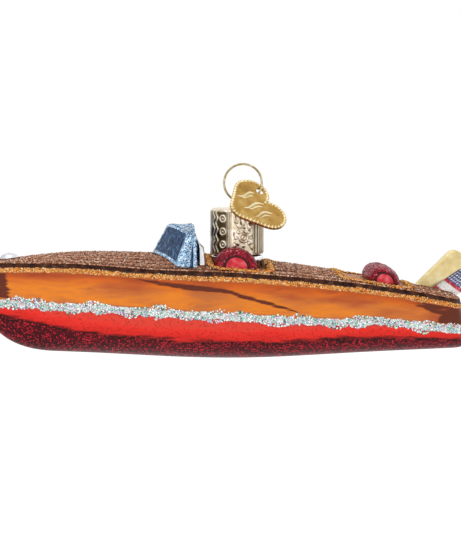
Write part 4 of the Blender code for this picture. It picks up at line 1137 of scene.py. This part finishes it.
sz = FOOT[1] + ALONG[1] * run[:, None] + SQUARE[1] * sq
sz = np.maximum(sz, deck_top(sx, dy) + 0.12 * MM)
staff = skin("gold_flag_staff", np.stack([sx, dy, sz], -1))

# %% Pale gold lacquer
GOLD, tree, shader = new_material("pale_gold_lacquer_on_glass", 0.3, 0.6, coat=0.5)
mottle(tree, shader, 0.3, 5.0, [(0.3, "C9B077"), (0.5, "DDC88C"), (0.7, "EFE3B4")])
dust = add(tree, "ShaderNodeTexNoise", {"Vector": place(tree, (4, 4, 4)), "Scale": 1.0, "Detail": 2.0})
bump = add(tree, "ShaderNodeBump", {"Height": dust.outputs["Fac"], "Distance": 0.05 * MM})
tree.links.new(bump.outputs["Normal"], shader.inputs["Normal"])
dress(staff, GOLD, "boat", "gold_lacquer", "flag_staff")

# %% Flag shape
DROOP, FLY_LONG = math.radians(-37), 5.7 * MM
FLY = np.array([math.cos(DROOP), math.sin(DROOP)])
start = FOOT + SQUARE * (0.5 * FOOT_WIDE + 0.1 * MM)
end = FOOT + ALONG * STAFF_LONG + SQUARE * (0.5 * HEAD_WIDE + 0.1 * MM)
hoist = np.linspace(0, 1, 60)
fly = np.linspace(0, FLY_LONG, 34)
ft, ff = np.meshgrid(hoist, fly, indexing="ij")
base_x = start[0] + (end - start)[0] * ft + FLY[0] * ff
base_z = start[1] + (end - start)[1] * ft + FLY[1] * ff
ripple = 0.28 * MM * np.sin(ff / FLY_LONG * 2.2 * np.pi + 0.6) * (0.3 + 0.7 * ff / FLY_LONG)
edge_u = np.minimum(ft, 1 - ft)
edge_v = 1 - ff / FLY_LONG
half_thick = 0.75 * MM * np.sqrt(np.clip(edge_u / 0.05, 0.02, 1)) * np.sqrt(np.clip(edge_v / 0.08, 0.02, 1))
front = np.stack([base_x, ripple - half_thick, base_z], -1)
back = np.stack([base_x, ripple + half_thick, base_z], -1)
rings = np.concatenate([front, back[:, ::-1]], 1)
rings[..., 2] = np.maximum(rings[..., 2], deck_top(rings[..., 0], rings[..., 1]) + 0.12 * MM)

# %% Stripes, corner and dots
flag_t = np.concatenate([ft, ft[:, ::-1]], 1)
flag_f = np.concatenate([ff, ff[:, ::-1]], 1) / FLY_LONG
stripes = smooth(0.22, 0.42, np.abs(((flag_t * 3.6 + 0.25) % 1.0) * 2 - 1))
canton = (flag_t > 0.66) & (flag_f < 0.75)
dot_t, dot_f = (flag_t * 15) % 1.0 - 0.5, (flag_f * 9) % 1.0 - 0.5
dots = canton & (dot_t ** 2 + dot_f ** 2 < 0.07)
flag = skin("waving_flag", rings, attributes={"stripe": stripes, "canton": canton, "dot": dots})

# %% Flag paint
FLAG, tree, shader = new_material("flag_glitter_paint", 0.4, 0.25)
cells = add(tree, "ShaderNodeTexVoronoi", {"Vector": place(tree), "Scale": 2.8})
grain = add(tree, "ShaderNodeSeparateColor", {"Color": cells.outputs["Color"]})
white = add(tree, "ShaderNodeValToRGB", {"Fac": grain.outputs["Red"]},
            [(0.0, "D8DCD8"), (0.5, "F4F4F0"), (0.8, "F0DCDC"), (1.0, "FFFFFF")])
crimson = add(tree, "ShaderNodeValToRGB", {"Fac": grain.outputs["Red"]},
              [(0.0, "8A1420"), (0.6, "C8243A"), (1.0, "E87A8C")])
blue = add(tree, "ShaderNodeValToRGB", {"Fac": grain.outputs["Green"]},
           [(0.0, "1C2A5C"), (0.6, "34447C"), (1.0, "7C84B8")])
parts = {}
for key in ("stripe", "canton", "dot"):
    parts[key] = add(tree, "ShaderNodeAttribute", attribute_name=key).outputs["Fac"]
colour = crimson.outputs["Color"]
for factor, paint in ((parts["stripe"], white), (parts["canton"], blue), (parts["dot"], white)):
    colour = add(tree, "ShaderNodeMix", {0: factor, 6: colour, 7: paint.outputs["Color"]},
                 data_type="RGBA").outputs[2]
tree.links.new(colour, shader.inputs["Base Color"])
bump = add(tree, "ShaderNodeBump", {"Height": cells.outputs["Distance"], "Distance": 0.12 * MM})
tree.links.new(bump.outputs["Normal"], shader.inputs["Normal"])
dress(flag, FLAG, "boat", "flag_paint", "flag")

# %% [markdown]
# ## Stamped cap
# The cap is thin sheet pressed over a patterned die, so its wall has beads, ribs and a rosette in low
# relief, and dull dark lacquer stays in the hollows. Outside one sector of each pattern the flat ground
# is darkened too as painted shade, and in that sector a painted highlight leaves the ground pale, dark
# only at the outlines. The relief is a height over angle and height on the wall; a fine turned grid
# takes it as real shape, because it shows at the cap's outline too.

# %% Relief of the cap
cap_low, cap_high = (np.array(c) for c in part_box("cap"))
CAP_X = 0.5 * (cap_low[0] + cap_high[0])
RIM, TOP = cap_low[2], cap_high[2]
CAP_R = 0.5 * (cap_high[0] - cap_low[0])
CAP_TALL = TOP - RIM
CAP_ROUND = 0.9 * MM
PATTERN_ANGLE = 265.7


def ridge(distance, width):
    """A rounded ridge: a cosine-like bump that fades over its width."""
    return np.exp(-(distance / width) ** 2)


def face_arc(angle):
    """Millimetres round the wall from the middle of the nearer pattern, for an angle in degrees."""
    return (((angle - PATTERN_ANGLE + 90.0) % 180.0) - 90.0) * np.pi / 180 * CAP_R / MM


def cap_relief(angle, z):
    """Raised pattern over angle in degrees and height in millimetres; it repeats twice round the cap."""
    arc = face_arc(angle)
    wave = 0.35 * np.sin(z * 2 * np.pi / 3.0)
    beads = ridge(arc + 7.5 - wave, 0.30) + ridge(arc + 6.2 - wave, 0.26)
    knob_z = (z - 1.0) % 3.4 - 1.7
    knob = np.hypot(arc + 4.1, knob_z)
    studs = ridge(knob - 0.85, 0.24) + ridge(knob, 0.30)
    seam_lines = ridge(arc + 2.3, 0.14) + ridge(arc + 1.75, 0.10)
    across = arc - 1.85
    radius = np.hypot(across, z - 4.6)
    around = np.arctan2(z - 4.6, across)
    rosette = ridge(radius - 1.15, 0.20) + ridge(radius - 0.45, 0.22)
    petals = ridge(radius - 2.1, 0.38) * smooth(-0.2, 0.6, np.cos(8 * around))
    leaves = ridge(radius - 3.5, 0.60) * smooth(-0.1, 0.7, np.sin(7 * around + 0.6))
    leaves = leaves * smooth(3.1, 2.6, np.abs(across))
    fan = ridge((z - 9.2 - 0.12 * across ** 2) / 1.1, 1.0) * smooth(-0.1, 0.7, np.cos(across * 5.2))
    fan = fan * smooth(3.1, 2.7, np.abs(across))
    ribs = smooth(4.6, 4.9, arc) * (0.5 + 0.5 * np.cos(arc * 2 * np.pi / 1.15)) * 0.8
    return np.clip(beads + studs + seam_lines + rosette + petals + leaves + fan + ribs, 0, 1.2)


# %% Cap profile, outside and inside
sides_n, wall_n = 420, 150
angle = np.linspace(0, 360, sides_n, endpoint=False)
wall_z = np.linspace(0, CAP_TALL - CAP_ROUND, wall_n)
edge_turn = np.linspace(0, 0.5 * np.pi, 12)[1:]
outer_r = np.concatenate([np.full(wall_n, CAP_R), CAP_R - CAP_ROUND * (1 - np.cos(edge_turn)),
                          np.linspace(CAP_R - CAP_ROUND, 0.9 * MM, 14)[1:]])
outer_z = np.concatenate([wall_z, CAP_TALL - CAP_ROUND + CAP_ROUND * np.sin(edge_turn),
                          np.full(13, CAP_TALL)])
inner_r = np.concatenate([[0.9 * MM, 5.4 * MM], np.full(19, CAP_R - 0.55 * MM)])
inner_z = np.concatenate([[CAP_TALL - 0.4 * MM, CAP_TALL - 0.42 * MM],
                          np.linspace(CAP_TALL - 1.4 * MM, 0, 19)])

# %% Cap mesh with its relief
ra, rz = np.meshgrid(angle, outer_z / MM, indexing="xy")
strength = smooth(0.1, 0.5, rz) * smooth(CAP_TALL / MM - 0.2, CAP_TALL / MM - 0.8, rz)
top_row = wall_n + len(edge_turn)
strength[top_row:] = 0
relief = cap_relief(ra, rz) * strength
r_out = outer_r[:, None] - 0.26 * MM + 0.25 * MM * relief
r_out[top_row:] = outer_r[top_row:, None]
near_rim = smooth(0.55, 0.9, outer_r[:, None] / CAP_R)
near_top = smooth(CAP_TALL / MM - 1.5, CAP_TALL / MM - 0.2, rz)
flute = 0.07 * MM * np.cos(np.radians(ra) * 26) * near_rim * near_top
all_r = np.concatenate([inner_r[::-1][:, None] * np.ones((1, sides_n)), r_out])
all_z = np.concatenate([inner_z[::-1][:, None] * np.ones((1, sides_n)), outer_z[:, None] + flute])
theta = np.radians(angle)[None]
cap_points = np.stack([CAP_X + all_r * np.cos(theta), all_r * np.sin(theta), RIM + all_z], -1)
cap_points = np.concatenate([cap_points, cap_points[:1]])
dark_patina_and_shade = np.zeros(all_r.shape)
panel_arc = face_arc(ra)
# a painted highlight: a pale sector of each pattern where the flat ground is left bright
painted_highlight_sector = smooth(-3.4, -1.6, panel_arc) * smooth(5.4, 4.2, panel_arc)
# dark in the hollows as patina and on the flat ground outside the sector as painted shade
patina_and_shade = np.clip(1 - relief, 0, 1) * (1 - painted_highlight_sector) + 0.9 * painted_highlight_sector * np.exp(-((relief - 0.24) / 0.14) ** 2)
dark_patina_and_shade[-len(relief):] = patina_and_shade * strength
dark_patina_and_shade = np.concatenate([dark_patina_and_shade, dark_patina_and_shade[:1]])
cap = skin("stamped_cap", cap_points, ends=False, attributes={"patina_and_painted_shade": dark_patina_and_shade}, boat=False)

# %% Stamped pale-gold sheet
STAMPED, tree, shader = new_material("stamped_gold_coloured_sheet", 0.28, 1.0)
darkened = add(tree, "ShaderNodeAttribute", attribute_name="patina_and_painted_shade")
patches = add(tree, "ShaderNodeTexNoise",
              {"Vector": place(tree, (0.5, 0.5, 0.5)), "Scale": 1.0, "Detail": 4.0})
gold = add(tree, "ShaderNodeValToRGB", {"Fac": patches.outputs["Fac"]},
           [(0.3, "CDB898"), (0.5, "E6D6BE"), (0.7, "FFF2E6")])
patina_and_shade_colour = add(tree, "ShaderNodeMix", {0: darkened.outputs["Fac"], 6: gold.outputs["Color"], 7: linear("51452A")},
           data_type="RGBA")
tree.links.new(patina_and_shade_colour.outputs[2], shader.inputs["Base Color"])
wear = add(tree, "ShaderNodeMapRange", {"Value": patches.outputs["Fac"], "To Min": 0.18, "To Max": 0.42})
tree.links.new(wear.outputs["Result"], shader.inputs["Roughness"])
dress(cap, STAMPED, "cap_and_loop", "stamped_metal", "cap")

# %% [markdown]
# ## Spring wire
# One piece of brass-plated spring wire makes the loop and the two legs that grip inside the neck. A
# round section is carried along the route: each ring is square to the path, which lies in one plane.

# %% Wire
LOOP_LEAN = math.radians(13.3)
WIRE = 0.6 * MM


def tube(path, radius, binormal, sides=14):
    """Rings of a round section carried along a path that lies near one plane, whose normal is binormal."""
    path = np.asarray(path)
    ahead = np.gradient(path, axis=0)
    ahead /= np.linalg.norm(ahead, axis=1, keepdims=True)
    b = np.asarray(binormal, float)
    inward = np.cross(ahead, b)
    inward /= np.linalg.norm(inward, axis=1, keepdims=True)
    up_ = np.cross(inward, ahead)
    turn_ = np.linspace(0, 2 * np.pi, sides, endpoint=False)
    radius = np.broadcast_to(radius, len(path))[:, None, None]
    return path[:, None] + radius * (np.cos(turn_)[None, :, None] * inward[:, None]
                                     + np.sin(turn_)[None, :, None] * up_[:, None])


# %% Route of the wire
LOOP_R, LOOP_RISE = 5.0, 6.9     # the loop's radius and the height of its centre over the cap, in mm
gap = math.asin(0.9 / LOOP_R)
t = np.linspace(-0.5 * np.pi - gap, -2.5 * np.pi + gap, 150)
ring_x = LOOP_R * np.cos(t)
ring_z = LOOP_RISE + LOOP_R * np.sin(t)
loop_x = math.cos(LOOP_LEAN) * ring_x + math.sin(LOOP_LEAN) * ring_z
loop_z = -math.sin(LOOP_LEAN) * ring_x + math.cos(LOOP_LEAN) * ring_z
tip_z = (BORE_FLOOR + BOAT[2] - TOP) / MM + 0.8
leg = np.array([(3.4, tip_z), (4.0, tip_z + 1.4), (3.8, tip_z + 3.0), (1.9, -2.6), (0.9, -1.0), (0.9, 0.1)])
share = np.linspace(0, 1, 6)
fine = np.linspace(0, 1, 40)
leg_fine = np.stack([np.interp(fine, share, leg[:, c]) for c in (0, 1)], 1)
kernel = np.ones(7) / 7
padded_leg = np.pad(leg_fine, ((3, 3), (0, 0)), mode="edge")
leg_fine = np.stack([np.convolve(padded_leg[:, c], kernel, "valid") for c in (0, 1)], 1)
route = np.concatenate([leg_fine * [-1, 1], np.stack([loop_x, loop_z], 1)[1:-1], leg_fine[::-1]])
route = np.stack([CAP_X + route[:, 0] * MM, 0 * route[:, 0], TOP + route[:, 1] * MM], 1)
clip = skin("spring_wire_loop", tube(route, 0.5 * WIRE, (0, 1, 0)), boat=False)

# %% Brass plating
WIRE_BRASS, tree, shader = new_material("brass_plated_spring_wire", 0.2, 1.0)
mottle(tree, shader, 0.7, 4.0, [(0.3, "7E7048"), (0.5, "B0A078"), (0.7, "DACFB4")])
dress(clip, WIRE_BRASS, "cap_and_loop", "brass_wire", "ring_clip")

# %% [markdown]
# ## Heart tag
# A die-stamped heart hangs from the loop. Its flat plate is the model's own; a roped border and three
# pairs of plain scrolls are laid on its face as raised metal, because stamping gives them sharp
# highlights, and they take a paler, smoother gold than the plate as a painted highlight.

# %% Where the tag hangs
ACROSS = np.array([0.511, -0.545, -0.665])
ACROSS /= np.linalg.norm(ACROSS)
UP = np.array([0.809, 0.566, 0.157])
UP -= ACROSS * UP.dot(ACROSS)
UP /= np.linalg.norm(UP)
FACING = np.cross(ACROSS, UP)
TAG_ANGLE = math.radians(-28)
SLOT = np.array([CAP_X, 0.0, TOP])
LOOP_CENTRE = SLOT + LOOP_RISE * MM * np.array([math.sin(LOOP_LEAN), 0.0, math.cos(LOOP_LEAN)])
PIVOT = LOOP_CENTRE + LOOP_R * MM * np.array([math.cos(TAG_ANGLE), 0.0, math.sin(TAG_ANGLE)])
HEART_AT = PIVOT + 4.1 * MM * ACROSS - 2.9 * MM * UP
plate_box = [np.round(np.array(c) / MM, 2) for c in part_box("heart_tag")]
print("tag pivot:", np.round(PIVOT / MM, 2), "plate box:", plate_box)

# %% Outline of the heart

def heart(inset, count):
    """Outline of the heart, moved in by an inset: lobe arcs, straight sides and a tip arc, evenly walked."""
    width, tall, lobe, tip_r = 18.0, 14.3, 4.9, 3.9
    lobe_x, tip_y = 0.5 * width - lobe, -(tall - lobe - tip_r)
    span = math.hypot(lobe_x, -tip_y)
    turn_ = math.atan2(-tip_y, lobe_x) - math.acos((tip_r - lobe) / span)
    notch = math.pi - math.acos(lobe_x / (lobe - inset))
    tip_a = np.linspace(-0.5 * np.pi, turn_, 40)
    lobe_a = np.linspace(turn_, notch, 140)
    small, big = tip_r - inset, lobe - inset
    tip = np.stack([small * np.cos(tip_a), tip_y + small * np.sin(tip_a)], 1)
    right = np.concatenate([tip, np.stack([lobe_x + big * np.cos(lobe_a), big * np.sin(lobe_a)], 1)])
    loop = np.concatenate([right, (right * [-1, 1])[::-1]])
    length = np.concatenate([[0], np.cumsum(np.linalg.norm(np.diff(loop, axis=0), axis=1))])
    at = np.linspace(0, length[-1], count, endpoint=False)
    return np.stack([np.interp(at, length, loop[:, c]) for c in (0, 1)], 1)


def on_tag(flat, lift):
    """A place on the tag's face: across, up, and lifted off the plate."""
    raised = np.broadcast_to(lift, len(flat))[:, None] * FACING
    return HEART_AT + (flat[:, :1] * ACROSS + flat[:, 1:] * UP) * MM + raised


# %% Roped border
BEADS, STEPS = 50, 10
border = heart(0.42, BEADS * STEPS)
phase = np.arange(BEADS * STEPS) * 2 * np.pi / STEPS
rim_path = on_tag(border, 0.26 * MM)
rim_rings = tube(np.concatenate([rim_path[-1:], rim_path, rim_path[:1]]),
                 np.concatenate([[0], (0.30 + 0.22 * np.cos(phase)) * MM, [0]]), FACING, 10)[1:-1]
tag_rim = skin("roped_heart_border", np.concatenate([rim_rings, rim_rings[:1]]), ends=False, boat=False)

# %% Gold plating, plain, and paler on the relief as a painted highlight
TAG_GOLD, tree, shader = new_material("gold_plated_stamping", 0.24, 1.0)
mottle(tree, shader, 0.4, 4.0, [(0.3, "A88040"), (0.5, "BC944E"), (0.7, "D0AE6C")])
fine_grain = add(tree, "ShaderNodeTexNoise", {"Vector": place(tree, (6, 6, 6)), "Scale": 1.0, "Detail": 2.0})
bump = add(tree, "ShaderNodeBump", {"Height": fine_grain.outputs["Fac"], "Distance": 0.02 * MM})
tree.links.new(bump.outputs["Normal"], shader.inputs["Normal"])
# the relief's gold, paler than the plate's as a painted highlight
HIGHLIGHT_GOLD, tree, shader = new_material("gold_relief_with_painted_highlight", 0.16, 1.0)
mottle(tree, shader, 0.5, 3.0, [(0.3, "D0B880"), (0.6, "F2E4BC")])
dress(tag_rim, HIGHLIGHT_GOLD, "tag", "tag_metal")

# %% Scrolls
t = np.linspace(0, 1, 70)
for index, (over, along_, reach_) in enumerate(((-4.1, -1.9, 2.6), (-0.1, -2.2, 3.3), (3.4, -1.5, 2.7))):
    for echo, shift in enumerate((0.0, 0.85)):
        length_ = reach_ * (1 - 0.35 * echo)
        swing = 0.45 * np.sin(2 * np.pi * t + 0.5 * index) * (1 - 0.5 * echo)
        sweep = np.stack([over + shift + 0.30 * (2 * t - 1) + swing, along_ + length_ * (2 * t - 1)], 1)
        thick_ = (0.06 + (0.40 - 0.12 * echo) * np.sin(np.pi * t) ** 0.8) * MM
        scroll = skin(f"scroll_{index}_{echo}", tube(on_tag(sweep, 0.28 * MM), thick_, FACING, 10),
                      boat=False)
        dress(scroll, HIGHLIGHT_GOLD, "tag", "tag_metal")

# %% Plate
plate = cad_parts["heart_tag"]
for thing in (plate if isinstance(plate, (list, tuple)) else [plate]):
    thing.data.materials.clear()
    thing.data.materials.append(TAG_GOLD)

# %% [markdown]
# ## Floor, light and camera
# A glossy ornament shows its surroundings, so the light is one large soft panel above, weaker panels in
# front and behind, and an even pale sky. The floor is plain and pale, some way below the keel, because
# the ornament hangs.

# %% Floor
floor_z = CAD_BOX[0][2] - 75 * MM
corners = np.array([[(-30.0, -30.0, floor_z), (30.0, -30.0, floor_z)],
                    [(-30.0, 30.0, floor_z), (30.0, 30.0, floor_z)]])
floor = skin("pale_floor", corners, wrap=False, ends=False, boat=False)
PALE, tree, shader = new_material("pale_paper", 0.9, 0.0, "FFFFFF")
floor.data.materials.append(PALE)

# %% Light
world = bpy.data.worlds.new("pale_sky")
bpy.context.scene.world = world
world.use_nodes = True
world.node_tree.nodes["Background"].inputs["Color"].default_value = linear("FFFFFF")
world.node_tree.nodes["Background"].inputs["Strength"].default_value = 1.0


def panel(name, where, width, power):
    """A square soft light that faces the ornament."""
    light = bpy.data.lights.new(name, "AREA")
    light.size = width
    light.energy = power
    thing = bpy.data.objects.new(name, light)
    bpy.context.scene.collection.objects.link(thing)
    thing.location = where
    aim = np.array([0.0, 0.0, -0.03]) - np.array(where)
    thing.rotation_euler = Vector(aim).to_track_quat("-Z", "Y").to_euler()
    return thing


panel("top_light", (-0.15, -0.25, 0.55), 0.45, 0.9)
panel("front_light", (-0.45, -0.7, 0.10), 0.30, 0.5)
panel("back_light", (0.35, 0.55, 0.35), 0.35, 0.6)

# %% Camera
YAW, PITCH = math.radians(4.3), math.radians(5.0)
AIM = np.array([-3.3, 0.0, -29.5]) * MM
DISTANCE = 0.8
VIEW_WIDTH = 122.165 * MM        # what the camera takes in at the ornament, from side to side
toward_camera = np.array([-math.sin(YAW) * math.cos(PITCH), -math.cos(YAW) * math.cos(PITCH),
                          math.sin(PITCH)])
camera_data = bpy.data.cameras.new("camera")
camera_data.sensor_width = 36.0
camera_data.lens = 36.0 * DISTANCE / VIEW_WIDTH
camera_data.sensor_fit = "HORIZONTAL"
camera_data.clip_end = 200.0
camera = bpy.data.objects.new("camera", camera_data)
bpy.context.scene.collection.objects.link(camera)
camera.location = AIM + DISTANCE * toward_camera
camera.rotation_euler = Vector(-toward_camera).to_track_quat("-Z", "Y").to_euler()
bpy.context.scene.camera = camera
bpy.context.scene.view_settings.view_transform = "Standard"

# %% Sizes and finish
print("CAD box:", np.round(np.array(CAD_BOX) / MM, 2).tolist())
